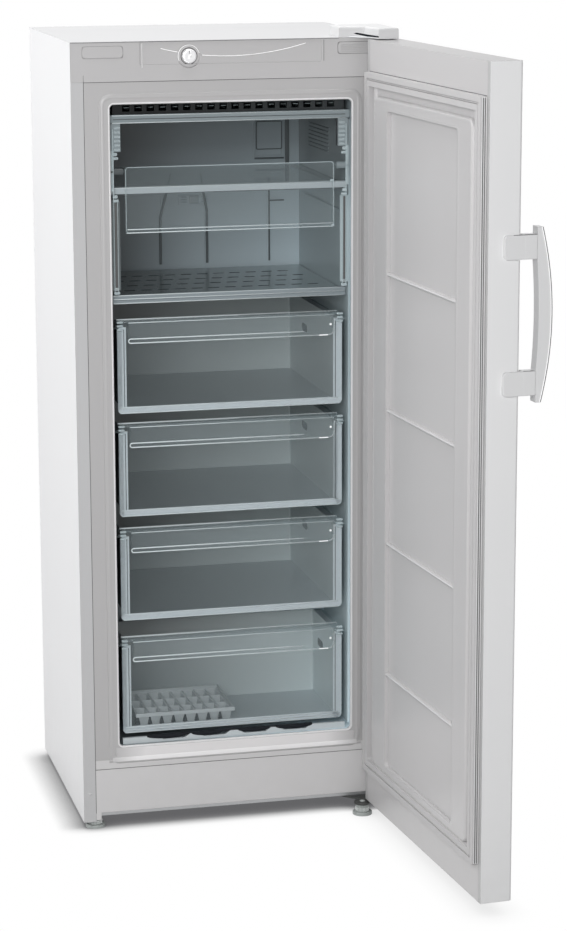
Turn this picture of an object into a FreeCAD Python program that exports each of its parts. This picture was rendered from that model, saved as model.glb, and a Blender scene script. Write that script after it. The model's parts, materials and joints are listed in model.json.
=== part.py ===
import FreeCAD, Part
import math
import os

# Upright freezer with an open door. Millimetres, +Z up, the front faces -Y.
# The model is drawn with x = 0 at the middle of the cabinet, y = 0 at its front plane and z = 0 on the
# floor. On export everything moves so that the origin is the middle of the left front foot's sole.

V = FreeCAD.Vector

# ---------------------------------------------------------------- driving dimensions
# cabinet shell
cabinet_width = 600.0
cabinet_height = 1500.0
cabinet_depth = 480.0
skin = 1.0                      # painted steel sheet
bend_radius = 3.0
side_bottom_z = 14.0            # lower edge of the side panels
front_flange_width = 24.0
rear_flange_width = 12.0
running_gap = 0.3               # free fit between pieces that lie together
bore_gap = 0.05                 # radial clearance of a pin in its bore

# walls round the interior, foam included
side_wall = 71.0
roof_wall = 113.0
back_wall = 52.0
sill_height = 44.0              # from the face frame's lower edge to the cavity's floor
liner_wall = 2.0
cavity_corner_radius = 20.0
opening_corner_radius = 9.0
face_bottom_z = 118.0           # lower edge of the face frame
band_width = 20.0
band_proud = 1.5
ledge_radius = 4.0
ledge_rise = 16.0               # from the face frame's lower edge to the rounded ledge

# compressor bay in the lower rear corner
bay_length = 215.0
bay_top_z = 325.0
bay_front_foam = 50.0
bay_roof_foam = 65.0
bay_floor_drop = 22.0           # from the face frame's lower edge to the sheet under the foam

# fascia and thermostat
fascia_height = 73.0
fascia_depth = 58.0
fascia_wall = 2.5
field_width = 342.0
field_rise = 30.0               # rises are measured from the fascia's lower edge
field_recess = 1.2
knob_x = -79.5
knob_rise = 44.5
knob_radius = 13.5
knob_length = 9.0
knob_shaft_radius = 3.0
cap_width = 75.0
cap_height = 21.0
cap_side_gap = 60.0             # from the cabinet's side to a cap's middle
cap_rise = 54.0
cap_proud = 0.8
cap_seat = 1.2                  # depth of the caps' pockets in the fascia
fascia_rib_x = 110.0
fascia_rib_sheet = 2.0
knob_ring_gap = 6.6             # from the knob's rim to the fine groove round it
knob_ring_width = 1.4
groove_depth = 0.6
smile_left = (-132.0, 59.0)     # (x, rise)
smile_middle = (8.0, 43.5)
smile_right = (141.0, 64.0)
smile_width = 2.0
thermostat_width = 44.0
thermostat_height = 28.0
thermostat_depth = 32.0

# base
base_z = 25.0                   # underside of the base frame
base_sheet = 2.5
kick_bottom_z = 31.0
kick_tab_width = 10.0           # of the tab at the kick plate's left end
kick_tab_drop = 14.0
front_lip_height = 40.0
side_lip_height = 30.0
kick_lip_depth = 16.0
foot_radius = 19.0
foot_height = 6.0
collar_radius = 13.0
stud_radius = 5.0
stud_reach = 14.0               # of the left foot's stud above the base sheet
left_foot_inset = 25.0          # from the cabinet's side to the foot's middle
left_foot_y = 19.0
right_foot_inset = 57.0
right_foot_back = 7.0           # from the hinge's axis back to the foot's middle
roller_radius = 14.0
roller_width = 18.0
roller_inset = 50.0
roller_back_gap = 28.0          # from the cabinet's rear to the rollers' axis
roller_cheek_gap = 0.6          # between a roller's face and its ear
axle_radius = 3.0
ear_sheet = 2.5
ear_reach = 9.0                 # of a roller's ear in front of and behind the axle

# hinge and door
door_gap = 12.0                 # from the cabinet's front plane to the door's inner face
door_thickness = 59.0
door_hinge_gap = 3.0            # between the bottom hinge's plate and the door
door_top_drop = 2.0             # from the cabinet's top down to the door's top
door_rest_angle = 94.3
door_corner_radius = 5.0
hinge_inset = 15.0              # from the cabinet's side to the hinge's axis
hinge_setback = 33.0            # from the door's inner face to the hinge's axis
hinge_pin_radius = 5.0
hinge_pin_length = 20.0
hinge_plate = 3.0
hinge_bracket_thickness = 4.0
hinge_plate_back_y = 60.0
hinge_plate_width = 85.0
bush_radius = 9.0
bush_length = 22.0
end_cap_height = 8.0
door_flange_width = 12.0
hinge_cover_height = 20.0
hinge_cover_wall = 2.0
gasket_inset = 13.0             # from the door's edge to the gasket
gasket_width = 25.0
gasket_top_drop = 58.0          # from the door's top to the gasket
gasket_sill_drop = 22.0         # from the face frame's lower edge down to the gasket
gasket_groove = 4.0
gasket_groove_depth = 3.0
frame_side_gap = 22.0           # from the gasket to the raised frame on the door's liner
frame_top_gap = 17.0
frame_side_width = 66.0
frame_top_width = 22.0
frame_bottom_width = 14.0
frame_proud = 8.0
frame_corner_radius = 12.0
frame_edge_radius = 3.0
rib_proud = 6.0
rib_height = 7.0
rib_count = 4
rib_low_gap = 181.0             # from the recess's lower edge to the lowest rib
rib_high_gap = 298.0            # from the highest rib to the recess's upper edge

# handle
grip_length = 300.0
grip_drop = 427.0               # from the door's top to the grip's middle
grip_width = 22.0
grip_reach = 28.0               # from the door's outer face to the grip
grip_end_depth = 10.0
grip_mid_depth = 25.0
grip_bow = 4.0
grip_edge_radius = 2.5
bracket_height = 42.0
bracket_spacing = 233.0         # between the middles of the two brackets
bracket_plate = 5.5
bracket_setback = 27.0          # from the door's inner face to the bracket's edge
handle_screw_radius = 2.2
handle_screw_length = 20.0

# runners, shelves and flap
runner_wall = 3.0
runner_front_y = 12.0
runner_back_gap = 2.0           # from the runners to the evaporator's cover
runner_step_gap = 20.0          # from the short runner part to the cavity's step
runner_top_gap = 2.0
runner_floor_gap = 10.0
ledge_width = 16.0
ledge_thickness = 3.0
ledge_front_y = 42.0
ledge_peg_radius = 1.2
ledge_peg_count = 3
ledge_peg_inset = 30.0          # from a ledge's ends to its outer pegs
shelf_back_gap = 8.0
glass_thickness = 4.0
glass_drop = 161.0              # from the cavity's roof to the glass
trim_depth = 14.0
trim_height = 14.0
trim_front_y = 26.0
perforated_drop = 204.0         # from the glass to the perforated shelf
perforated_thickness = 4.0
rail_height = 16.0
rail_depth = 7.0
hole_rows = 5
hole_columns = 12
hole_length = 22.0
hole_width = 9.0
hole_margin_x = 14.0
hole_margin_y = 60.0
flap_side_gap = 30.0
flap_rise = 44.0                # of the flap's upper edge over the glass
flap_height = 123.0
flap_wall = 2.5
flap_return = 8.0
flap_front_y = 14.0
flap_pin_radius = 2.5
flap_pin_length = 16.0
flap_boss_radius = 7.0
flap_pivot_drop = 8.0

# top duct and evaporator space
duct_height = 37.0
duct_front_y = 14.0
duct_rail_height = 16.0
duct_rail_depth = 10.0
duct_wall = 2.5
louvre_count = 18
louvre_width = 14.0
louvre_height = 11.0
bracket_drop = 52.0
bracket_width = 19.0
evaporator_space = 32.0         # from the cover's front to the cavity's back
cover_wall = 2.5
cover_rib_width = 4.0
cover_rib_proud = 2.0
cover_rib_rise = 12.0
cover_ribs = ((-56.0, 144.0), (33.0, 145.0), (161.0, 182.0))     # (x, upper end over the shelf)
cover_pad_x = (-22.0, 6.0)
cover_pad_width = 24.0
cover_pad_rise = 128.0
cover_pad_height = 18.0
cover_pad_proud = 3.0
cover_frame_side_gap = 97.0
cover_frame_rise = 12.0         # over the glass
cover_frame_width = 64.0
cover_frame_height = 83.0
cover_frame_border = 5.0
return_slots = 9
return_pitch = 40.0
return_length = 28.0
return_height = 8.0
return_rise = 40.0
fan_x = 0.0
fan_rise = 66.0                 # of the fan's axis over the glass
fan_radius = 42.0
fan_hub_radius = 11.0
fan_depth = 10.0
fan_blades = 5
fan_shaft_radius = 2.0
motor_radius = 16.0
motor_depth = 10.0
blade_root = 2.0
blade_width = 16.0
blade_sheet = 1.5
blade_pitch = 32.0
coil_back_gap = 15.0
coil_tube_radius = 4.0
coil_rows = 8
coil_pitch = 44.0
coil_fan_gap = 142.0            # from the fan's rim down to the coil's top run
coil_side_gap = 49.0
fin_count = 16
fin_thickness = 1.0
fin_depth = 24.0
fin_margin = 14.0
fin_inset = 12.0
end_plate_thickness = 2.0
heater_tube_radius = 3.5
heater_drop = 34.0
heater_pitch = 40.0
drain_radius = 8.0
drain_wall = 1.5

# floor strip
strip_height = 12.0
strip_depth = 6.0
strip_front_y = 10.0
inlet_count = 4
inlet_width = 66.0
inlet_pitch = 80.0
inlet_height = 7.0
inlet_slope = 12.0

# drawers
drawer_side_gap = 12.0          # from the cavity's wall to a drawer's front
drawer_shelf_gap = 36.0         # from the upper drawer to the perforated shelf
drawer_gaps = (22.0, 27.0)      # under the upper and under the middle drawer
drawer_step_gap = 14.0          # from the cavity's step up to the lower drawer
bottom_drawer_step_gap = 24.0   # from the bottom drawer up to the cavity's step
bottom_drawer_floor_gap = 18.0
drawer_back_gap = 11.0          # from the tubs to the evaporator's cover
bottom_drawer_back_gap = 15.0
rim_reach = 11.0                # from a tub's side to the edge of its front
tub_wall = 2.0
tub_front_y = 24.0
tub_drop = 12.0                 # from the front's upper edge down to the tub's rim
rim_thickness = 2.5
window_side = 17.0
window_bottom = 13.0
front_panel = 3.0
front_corner_radius = 8.0
lip_side_gap = 19.0
lip_proud = 13.0
lip_drop = 40.0
lip_wall = 3.0
grip_hole_length = 44.0
grip_hole_height = 16.0
grip_hole_drop = 56.0
grip_hole_back = 120.0          # from a tub's back to the hole in its side
bottom_grip_hole_back = 60.0
tub_foot = 4.0                  # from the front's lower edge up to the tub's underside
lip_corner_radius = 9.0
cheek_rise = 12.0               # the lip's cheeks end this far above its lower edge

# ice tray
tray_side_gap = 16.0            # gaps are measured to the bottom drawer's tub
tray_front_gap = 8.0
tray_back_gap = 11.0
tray_length = 195.0
tray_height = 28.0
tray_wall = 1.5
tray_columns = 8
tray_rows = 3
tray_rim_depth = 6.0
tray_rim_width = 3.0
cell_spacing = 1.0
cell_taper = 0.74

# compressor bay
compressor_x = -40.0
compressor_back_gap = 110.0     # from the cabinet's rear to the compressor's axis
compressor_radius = 72.0
compressor_height = 165.0
compressor_dome = 38.0
compressor_foot_sheet = 3.0
mount_radius = 10.0
mount_neck_radius = 6.0
mount_squeeze = 6.0             # how far a grommet is pressed down by the compressor
mount_height = 16.0
mount_spacing_x = 180.0
mount_spacing_y = 90.0
foot_plate_margin = 14.0        # from the grommets' middles to the foot plate's edge
pan_height = 26.0
pan_length = 190.0
pan_width = 130.0
pan_wall = 2.0
pan_shift_x = 20.0
pan_shift_y = 18.0
drain_end_gap = 20.0            # from the compressor's top up to the drain pipe's end
terminal_width = 60.0
terminal_depth = 26.0
terminal_height = 70.0
terminal_rise = 50.0
gland_radius = 8.0
gland_length = 22.0
gland_flange = 4.0
gland_flange_height = 3.0
gland_bore_radius = 4.0
gland_inset = 110.0             # from the cabinet's left side
gland_back_gap = 30.0
pipe_radius = 3.0
pipe_bend = 14.0
suction_rise = 60.0
suction_shift = 20.0
discharge_rise = 30.0
discharge_reach = 60.0
discharge_end_rise = 90.0
suction_reach = 100.0
drier_radius = 9.0
drier_length = 90.0
drier_neck = 30.0

# condenser
condenser_gap = 28.0            # from the cabinet's rear to the condenser's tube
condenser_tube_radius = 2.5
condenser_side_gap = 75.0
condenser_pitch = 72.0
condenser_rise = 70.0           # from the bay's roof to the lowest run
condenser_top_gap = 160.0       # least distance from the top run to the cabinet's top
wire_radius = 1.1
wire_count = 18
wire_overhang = 12.0
wire_margin = 8.0
standoff_reach = 6.0
standoff_width = 16.0
standoff_height = 22.0

# screws
screw_head_radius = 5.0
screw_head_height = 2.5
screw_shank_radius = 2.5
hinge_screw_length = 14.0
hinge_screw_y = 34.0
hinge_screw_inset = 18.0

# ---------------------------------------------------------------- sizes that follow
# cabinet
half_width = cabinet_width / 2
face_half_width = half_width - front_flange_width
half_cavity = half_width - side_wall
cavity_top_z = cabinet_height - roof_wall
cavity_bottom_z = face_bottom_z + sill_height
cavity_depth = cabinet_depth - back_wall
bay_front_y = cabinet_depth - bay_length
step_depth = bay_front_y - bay_front_foam
step_z = bay_top_z + bay_roof_foam
ledge_z = face_bottom_z + ledge_rise
base_top_z = base_z + base_sheet
roller_x = half_width - roller_inset
roller_y = cabinet_depth - roller_back_gap

# fascia
fascia_bottom_z = cabinet_height - fascia_height
knob_z = fascia_bottom_z + knob_rise
cap_centre_x = half_width - cap_side_gap
cap_centre_z = fascia_bottom_z + cap_rise

# door and handle
door_inner_y = -door_gap
door_outer_y = -door_gap - door_thickness
door_bottom_z = base_z + door_hinge_gap
door_top_z = cabinet_height - door_top_drop
hinge_x = half_width - hinge_inset
hinge_y = door_inner_y - hinge_setback
hinge_plate_left_x = half_width - hinge_plate_width
gasket_outer_x = half_width - gasket_inset
gasket_top_z = door_top_z - gasket_top_drop
gasket_bottom_z = face_bottom_z - gasket_sill_drop
frame_outer_x = gasket_outer_x - gasket_width - frame_side_gap
frame_inner_x = frame_outer_x - frame_side_width
frame_top_z = gasket_top_z - gasket_width - frame_top_gap
frame_bottom_z = gasket_bottom_z + gasket_width
recess_top_z = frame_top_z - frame_top_width
recess_bottom_z = frame_bottom_z + frame_bottom_width
lowest_rib_z = recess_bottom_z + rib_low_gap
rib_pitch = (recess_top_z - rib_high_gap - lowest_rib_z) / (rib_count - 1)
grip_middle_z = door_top_z - grip_drop
grip_inner_y = door_outer_y - grip_reach
bracket_back_y = door_inner_y - bracket_setback
bracket_centres = (grip_middle_z + bracket_spacing / 2, grip_middle_z - bracket_spacing / 2)

# feet; the origin of the export is the middle of the left one's sole
left_foot_x = left_foot_inset - half_width
right_foot_x = half_width - right_foot_inset
right_foot_y = hinge_y + right_foot_back
foot_shift = V(-left_foot_x, -left_foot_y, 0)

# interior
cover_front_y = cavity_depth - evaporator_space
duct_bottom_z = cavity_top_z - duct_height
glass_top_z = cavity_top_z - glass_drop
perforated_top_z = glass_top_z - perforated_drop
shelf_back_y = cover_front_y - shelf_back_gap
runner_inner_x = half_cavity - runner_wall
runner_back_y = cover_front_y - runner_back_gap
runner_step_back_y = step_depth - runner_step_gap
runner_top_z = duct_bottom_z - runner_top_gap
runner_bottom_z = cavity_bottom_z + runner_floor_gap
ledge_inner_x = runner_inner_x - ledge_width
shelf_half_width = runner_inner_x - 4 * running_gap
flap_width = 2 * (half_cavity - flap_side_gap)
flap_top_z = glass_top_z + flap_rise
flap_pivot_z = flap_top_z - flap_pivot_drop
flap_pivot_y = flap_front_y + flap_return / 2
fan_z = glass_top_z + fan_rise
coil_y = cavity_depth - coil_back_gap
coil_half_width = half_cavity - coil_side_gap
coil_bottom_z = fan_z - fan_radius - coil_fan_gap - (coil_rows - 1) * coil_pitch
cover_frame_x = half_cavity - cover_frame_side_gap
cover_frame_low_z = glass_top_z + cover_frame_rise
cover_pad_low_z = perforated_top_z + cover_pad_rise

# drawers: the three large ones share the height between the cavity's step and the perforated shelf
drawer_front_width = 2 * (half_cavity - drawer_side_gap)
tub_width = drawer_front_width - 2 * rim_reach
lip_width = drawer_front_width - 2 * lip_side_gap
upper_high_z = perforated_top_z - perforated_thickness - drawer_shelf_gap
lower_low_z = step_z + drawer_step_gap
drawer_height = (upper_high_z - lower_low_z - sum(drawer_gaps)) / 3
middle_high_z = upper_high_z - drawer_height - drawer_gaps[0]
lower_high_z = lower_low_z + drawer_height
tub_back_y = cover_front_y - drawer_back_gap
bottom_low_z = cavity_bottom_z + bottom_drawer_floor_gap
bottom_back_y = step_depth - bottom_drawer_back_gap
# (name, lower edge, upper edge, back of the tub, from there to the grip hole)
drawer_table = (
    ("upper", upper_high_z - drawer_height, upper_high_z, tub_back_y, grip_hole_back),
    ("middle", middle_high_z - drawer_height, middle_high_z, tub_back_y, grip_hole_back),
    ("lower", lower_low_z, lower_high_z, tub_back_y, grip_hole_back),
    ("bottom", bottom_low_z, step_z - bottom_drawer_step_gap, bottom_back_y, bottom_grip_hole_back),
)
tray_left_x = tray_side_gap - tub_width / 2
tray_front_y = tub_front_y + tray_front_gap
tray_width = bottom_back_y - tub_wall - tray_back_gap - tray_front_y

# machine
compressor_y = cabinet_depth - compressor_back_gap
gland_x = gland_inset - half_width
gland_y = cabinet_depth - gland_back_gap
condenser_y = cabinet_depth + condenser_gap
condenser_half_width = half_width - condenser_side_gap
condenser_bottom_z = bay_top_z + condenser_rise
condenser_rows = 1 + int((cabinet_height - condenser_top_gap - condenser_bottom_z) / condenser_pitch)
condenser_top_z = condenser_bottom_z + (condenser_rows - 1) * condenser_pitch


# ---------------------------------------------------------------- helpers
def box(x0, x1, y0, y1, z0, z1):
    return Part.makeBox(x1 - x0, y1 - y0, z1 - z0, V(x0, y0, z0))


def rod(radius, start, end):
    axis = V(*end) - V(*start)
    return Part.makeCylinder(radius, axis.Length, V(*start), axis)


def join(shapes):
    """Fuse shapes that touch into one solid."""
    first, rest = shapes[0], shapes[1:]
    return first.multiFuse(rest).removeSplitter() if rest else first


def group(shapes):
    return Part.makeCompound(shapes)


def mirrored(shape):
    return shape.mirror(V(0, 0, 0), V(1, 0, 0))


def round_edges(shape, radius, keep):
    """Fillet the edges for which keep(edge's middle, edge's direction) is true."""
    chosen = []
    for edge in shape.Edges:
        if not isinstance(edge.Curve, Part.Line):
            continue
        middle = edge.CenterOfMass
        direction = (edge.Vertexes[-1].Point - edge.Vertexes[0].Point).normalize()
        if keep(middle, direction):
            chosen.append(edge)
    return shape.makeFillet(radius, chosen) if chosen else shape


def near(value, target, tolerance=0.01):
    return abs(value - target) < tolerance


def plate_xz(points, y0, y1):
    """A plate with a polygon outline in X and Z, from y0 to y1."""
    wire = Part.makePolygon([V(x, y0, z) for x, z in points + points[:1]])
    return Part.Face(wire).extrude(V(0, y1 - y0, 0))


def plate_xy(points, z0, z1):
    wire = Part.makePolygon([V(x, y, z0) for x, y in points + points[:1]])
    return Part.Face(wire).extrude(V(0, 0, z1 - z0))


def rounded_plate(x0, x1, y0, y1, z0, z1, radius):
    """A plate whose outline in X and Z has rounded corners."""
    plate = box(x0, x1, y0, y1, z0, z1)
    return round_edges(plate, radius, lambda middle, way: near(abs(way.y), 1))


def slot_cutter(x, z, length, height, y0, y1):
    """A stadium-shaped cutter along Y, longer side along X."""
    half = (length - height) / 2
    middle = box(x - half, x + half, y0, y1, z - height / 2, z + height / 2)
    ends = [rod(height / 2, (x + side * half, y0, z), (x + side * half, y1, z)) for side in (-1, 1)]
    return join([middle] + ends)


def serpentine(radius, half_length, y, bottom_z, rows, pitch):
    """A tube of level runs joined by half turns, fused into one solid."""
    turn = half_length - pitch / 2
    pieces = []
    for row in range(rows):
        z = bottom_z + row * pitch
        pieces.append(rod(radius, (-turn, y, z), (turn, y, z)))
        if row < rows - 1:
            side = 1 if row % 2 == 0 else -1
            ring = Part.makeTorus(pitch / 2, radius, V(side * turn, y, z + pitch / 2), V(0, 1, 0))
            reach = pitch / 2 + radius + 1
            half = box(0, reach, y - radius - 1, y + radius + 1, z + pitch / 2 - reach, z + pitch / 2 + reach)
            half.translate(V(turn if side > 0 else -turn - reach, 0, 0))
            pieces.append(ring.common(half))
    return join(pieces)


def bent_pipe(radius, points, bend):
    """A round pipe along straight runs with tangent arcs at the corners."""
    edges = []
    start = V(*points[0])
    for index in range(1, len(points) - 1):
        corner = V(*points[index])
        into = (corner - V(*points[index - 1])).normalize()
        out = (V(*points[index + 1]) - corner).normalize()
        half_turn = into.getAngle(out) / 2
        cut = bend * math.tan(half_turn)
        first = corner - into * cut
        last = corner + out * cut
        bisector = (out - into).normalize()
        centre = corner + bisector * (bend / math.cos(half_turn))
        middle = centre - bisector * bend
        edges.append(Part.LineSegment(start, first).toShape())
        edges.append(Part.Arc(first, middle, last).toShape())
        start = last
    edges.append(Part.LineSegment(start, V(*points[-1])).toShape())
    path = Part.Wire(edges)
    direction = V(*points[1]) - V(*points[0])
    section = Part.Wire([Part.makeCircle(radius, V(*points[0]), direction)])
    return path.makePipeShell([section], True, False)


def swing(shape):
    """Turn a piece drawn on the closed door to where the door stands."""
    turned = shape.copy()
    turned.rotate(V(hinge_x, hinge_y, 0), V(0, 0, 1), door_rest_angle)
    return turned


# ---------------------------------------------------------------- cabinet shell
def side_panel():
    """The left panel; the right one is its mirror image."""
    top_z = cabinet_height - skin
    sheet = box(-half_width, -half_width + skin, 0, cabinet_depth, side_bottom_z, top_z)
    front = box(-half_width, -face_half_width, 0, skin, side_bottom_z, fascia_bottom_z)
    rear = box(-half_width, -half_width + rear_flange_width, cabinet_depth - skin, cabinet_depth,
               side_bottom_z, top_z)
    panel = join([sheet, front, rear])

    def rear_corner(middle, way):
        return near(abs(way.z), 1) and near(middle.x, -half_width) and near(middle.y, cabinet_depth)

    return round_edges(panel, bend_radius * 0.3, rear_corner)


def right_side_panel():
    """Like the left one, notched round the bottom hinge's plate."""
    low_z = base_z - hinge_bracket_thickness
    plate = plate_xy(hinge_outline(hinge_plate_left_x, hinge_plate_back_y), low_z, base_z)
    notch = box(face_half_width - 1, half_width - skin, -1, skin + 1, low_z - running_gap,
                base_z + running_gap)
    return mirrored(side_panel()).cut(notch).cut(plate)


def top_panel():
    panel = box(-half_width, half_width, 0, cabinet_depth, cabinet_height - skin, cabinet_height)
    return panel.cut(group(hinge_screw_holes(cabinet_height - skin, cabinet_height)))


def back_panel():
    return box(-half_width + skin, half_width - skin, cabinet_depth - 2 * skin, cabinet_depth - skin,
               bay_top_z + skin, cabinet_height - skin)


def cavity(grow):
    """The stepped interior, each wall moved out by grow."""
    side = half_cavity + grow
    radius = cavity_corner_radius + grow
    front_y = -band_proud - 1
    upper = box(-side, side, front_y, cavity_depth + grow, step_z - grow, cavity_top_z + grow)
    lower = box(-side, side, front_y, step_depth + grow, cavity_bottom_z - grow, step_z)

    def back_corner(depth):
        return lambda middle, way: near(abs(way.z), 1) and near(middle.y, depth)

    def front_corner(middle, way):
        return near(abs(way.y), 1)

    upper = round_edges(upper, radius, back_corner(cavity_depth + grow))
    lower = round_edges(lower, radius, back_corner(step_depth + grow))
    whole = join([upper, lower])
    outer_z = (cavity_top_z + grow, cavity_bottom_z - grow)

    def opening_corner(middle, way):
        level = any(near(middle.z, z) for z in outer_z)
        return front_corner(middle, way) and level and near(abs(middle.x), side)

    return round_edges(whole, opening_corner_radius + grow, opening_corner)


def inner_liner():
    shell = cavity(liner_wall).cut(box(-half_width, half_width, -band_proud - 2, 0, 0, cabinet_height))
    face = box(-face_half_width, face_half_width, 0, liner_wall, face_bottom_z, fascia_bottom_z)
    band_x = half_cavity + band_width
    band = rounded_plate(-band_x, band_x, -band_proud, 0, cavity_bottom_z - band_width,
                         cavity_top_z + band_width - 2, opening_corner_radius + band_width)
    band = band.makeFillet(band_proud * 0.8, [e for e in band.Edges if near(e.BoundBox.YMax, -band_proud)])
    bead = rod(ledge_radius, (-band_x, liner_wall, ledge_z), (band_x, liner_wall, ledge_z))
    bead = bead.cut(box(-half_width, half_width, liner_wall, 20, 0, cabinet_height))
    liner = join([shell, face, band, bead]).cut(cavity(0))
    drain = rod(drain_radius + running_gap, (0, coil_y, step_z - 10), (0, coil_y, step_z + 10))
    return liner.cut(drain)


def foam_insulation():
    inside_x = half_width - skin
    back_y = cabinet_depth - 2 * skin
    block = box(-inside_x, inside_x, liner_wall, back_y, bay_front_z() + skin, cabinet_height - skin)
    fascia_bay = box(-inside_x, inside_x, liner_wall, fascia_depth, fascia_bottom_z, cabinet_height)
    bay = box(-inside_x, inside_x, bay_front_y - skin, cabinet_depth, 0, bay_top_z + skin)
    bead = box(-half_width, half_width, 0, liner_wall, 0, cabinet_height)
    foam = block.cut(fascia_bay).cut(bay).cut(bead).cut(cavity(liner_wall))
    drain = rod(drain_radius + running_gap, (0, coil_y, bay_top_z), (0, coil_y, step_z))
    return foam.cut(drain)


def bay_front_z():
    """Underside of the cabinet in front of the compressor bay."""
    return face_bottom_z - bay_floor_drop


def bay_panel():
    """The folded sheet under the foam and round the compressor bay."""
    inside_x = half_width - skin
    floor_z = bay_front_z()
    front = box(-inside_x, inside_x, liner_wall, bay_front_y, floor_z, floor_z + skin)
    riser = box(-inside_x, inside_x, bay_front_y - skin, bay_front_y, floor_z, bay_top_z + skin)
    roof = box(-inside_x, inside_x, bay_front_y - skin, cabinet_depth - skin, bay_top_z, bay_top_z + skin)
    drain = rod(drain_radius + running_gap, (0, coil_y, bay_top_z - 5), (0, coil_y, bay_top_z + 5))
    return join([front, riser, roof]).cut(drain)


def kick_plate():
    face = box(-face_half_width, face_half_width, 0, liner_wall, kick_bottom_z, face_bottom_z - running_gap)
    lip = box(-face_half_width, face_half_width, 0, kick_lip_depth,
              bay_front_z() - liner_wall - running_gap, bay_front_z() - running_gap)

    def lower_edge(middle, way):
        return near(abs(way.x), 1) and near(middle.y, 0) and near(middle.z, kick_bottom_z)

    tab = box(-face_half_width, kick_tab_width - face_half_width, 0, liner_wall,
              kick_bottom_z - kick_tab_drop, kick_bottom_z + liner_wall)
    return join([round_edges(join([face, lip]), liner_wall * 0.75, lower_edge), tab])


def base_frame():
    """A sheet with upturned edges that carries the feet, the rollers and the compressor."""
    inside_x = half_width - skin
    back_y = cabinet_depth - 2 * skin
    sheet = box(-inside_x, inside_x, liner_wall, back_y, base_z, base_top_z)
    front_lip = box(-inside_x, inside_x, liner_wall, liner_wall + base_sheet, base_z,
                    base_z + front_lip_height)
    side_lip = box(-inside_x, -inside_x + base_sheet, liner_wall, back_y, base_z, base_z + side_lip_height)
    inner = roller_width / 2 + roller_cheek_gap
    ears = []
    cuts = []
    for side in (-1, 1):
        x = side * roller_x
        for x0 in (x + inner, x - inner - ear_sheet):
            ears.append(box(x0, x0 + ear_sheet, roller_y - ear_reach, roller_y + ear_reach,
                            roller_radius - axle_radius - 5, base_z))
        cuts.append(rod(axle_radius, (x - roller_width, roller_y, roller_radius),
                        (x + roller_width, roller_y, roller_radius)))
        cuts.append(box(x - inner + running_gap, x + inner - running_gap, roller_y - roller_radius - 1,
                        roller_y + roller_radius + 1, base_z - 1, base_top_z + 1))
    cuts.append(Part.makeCylinder(stud_radius + bore_gap, base_top_z + 1, V(left_foot_x, left_foot_y, 0)))
    cuts.append(Part.makeCylinder(gland_radius, base_top_z + 1, V(gland_x, gland_y, 0)))
    return join([sheet, front_lip, side_lip, mirrored(side_lip)] + ears).cut(group(cuts))


# ---------------------------------------------------------------- feet and rollers
def levelling_foot(x, y, collar_top, stud_top):
    disc = Part.makeCylinder(foot_radius, foot_height, V(x, y, 0))
    disc = disc.makeFillet(1.5, [e for e in disc.Edges if near(e.BoundBox.ZMin, foot_height) and e.Closed])
    collar = Part.makeCylinder(collar_radius, collar_top - foot_height, V(x, y, foot_height))
    notches = []
    count = 16
    for index in range(count):
        angle = 2 * math.pi * index / count
        at = V(x + collar_radius * math.cos(angle), y + collar_radius * math.sin(angle), foot_height)
        notches.append(Part.makeCylinder(1.2, collar_top, at))
    collar = collar.cut(group(notches))
    stud = Part.makeCylinder(stud_radius, stud_top - foot_height, V(x, y, foot_height))
    return join([disc, collar, stud])


def roller(side):
    x = side * roller_x
    wheel = rod(roller_radius, (x - roller_width / 2, roller_y, roller_radius),
                (x + roller_width / 2, roller_y, roller_radius))
    bore = rod(axle_radius + bore_gap, (x - roller_width, roller_y, roller_radius),
               (x + roller_width, roller_y, roller_radius))
    rims = [edge for edge in wheel.Edges if edge.Closed and near(edge.Curve.Radius, roller_radius)]
    wheel = wheel.makeFillet(1.0, rims)
    return wheel.cut(bore)


def roller_axles():
    reach = roller_width / 2 + roller_cheek_gap + ear_sheet
    axles = []
    for side in (-1, 1):
        x = side * roller_x
        pin = rod(axle_radius, (x - reach, roller_y, roller_radius), (x + reach, roller_y, roller_radius))
        heads = [rod(axle_radius + 1.5, (x + face * reach, roller_y, roller_radius),
                     (x + face * (reach + 1.5), roller_y, roller_radius)) for face in (-1, 1)]
        axles.append(join([pin] + heads))
    return axles


# ---------------------------------------------------------------- hinges
def hinge_screw_points():
    return ((hinge_plate_left_x + hinge_screw_inset, hinge_screw_y),
            (half_width - hinge_screw_inset, hinge_screw_y))


def hinge_screw_holes(z0, z1):
    return [Part.makeCylinder(screw_shank_radius + running_gap, z1 - z0 + 2, V(x, y, z0 - 1))
            for x, y in hinge_screw_points()]


def hinge_outline(left_x, back_y):
    """Plan of a hinge plate: wide on the cabinet, narrowing to the pin in front of it."""
    pin_reach = hinge_pin_radius + 7
    return [(left_x, back_y), (left_x, 8.0), (hinge_x - pin_reach, hinge_y - 4),
            (hinge_x - pin_reach + 4, hinge_y - pin_reach), (half_width - 3, hinge_y - pin_reach),
            (half_width - 3, back_y)]


def top_hinge():
    plate = plate_xy(hinge_outline(hinge_plate_left_x, hinge_plate_back_y), cabinet_height,
                     cabinet_height + hinge_plate)
    plate = plate.cut(group(hinge_screw_holes(cabinet_height, cabinet_height + hinge_plate)))
    pin = rod(hinge_pin_radius, (hinge_x, hinge_y, door_top_z - hinge_pin_length),
              (hinge_x, hinge_y, cabinet_height + hinge_plate))
    return join([plate, pin])


def top_hinge_cover():
    z0 = cabinet_height
    wall = hinge_cover_wall
    outer = plate_xy(cover_outline(0), z0, z0 + hinge_cover_height)
    outer = round_edges(outer, 4.0, lambda m, way: near(m.z, z0 + hinge_cover_height))
    inner = plate_xy(cover_outline(wall), z0 - 1, z0 + hinge_cover_height - wall - 2)
    plate = plate_xy(hinge_outline(hinge_plate_left_x, hinge_plate_back_y), z0, z0 + hinge_plate)
    return outer.cut(inner).cut(plate)


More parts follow.
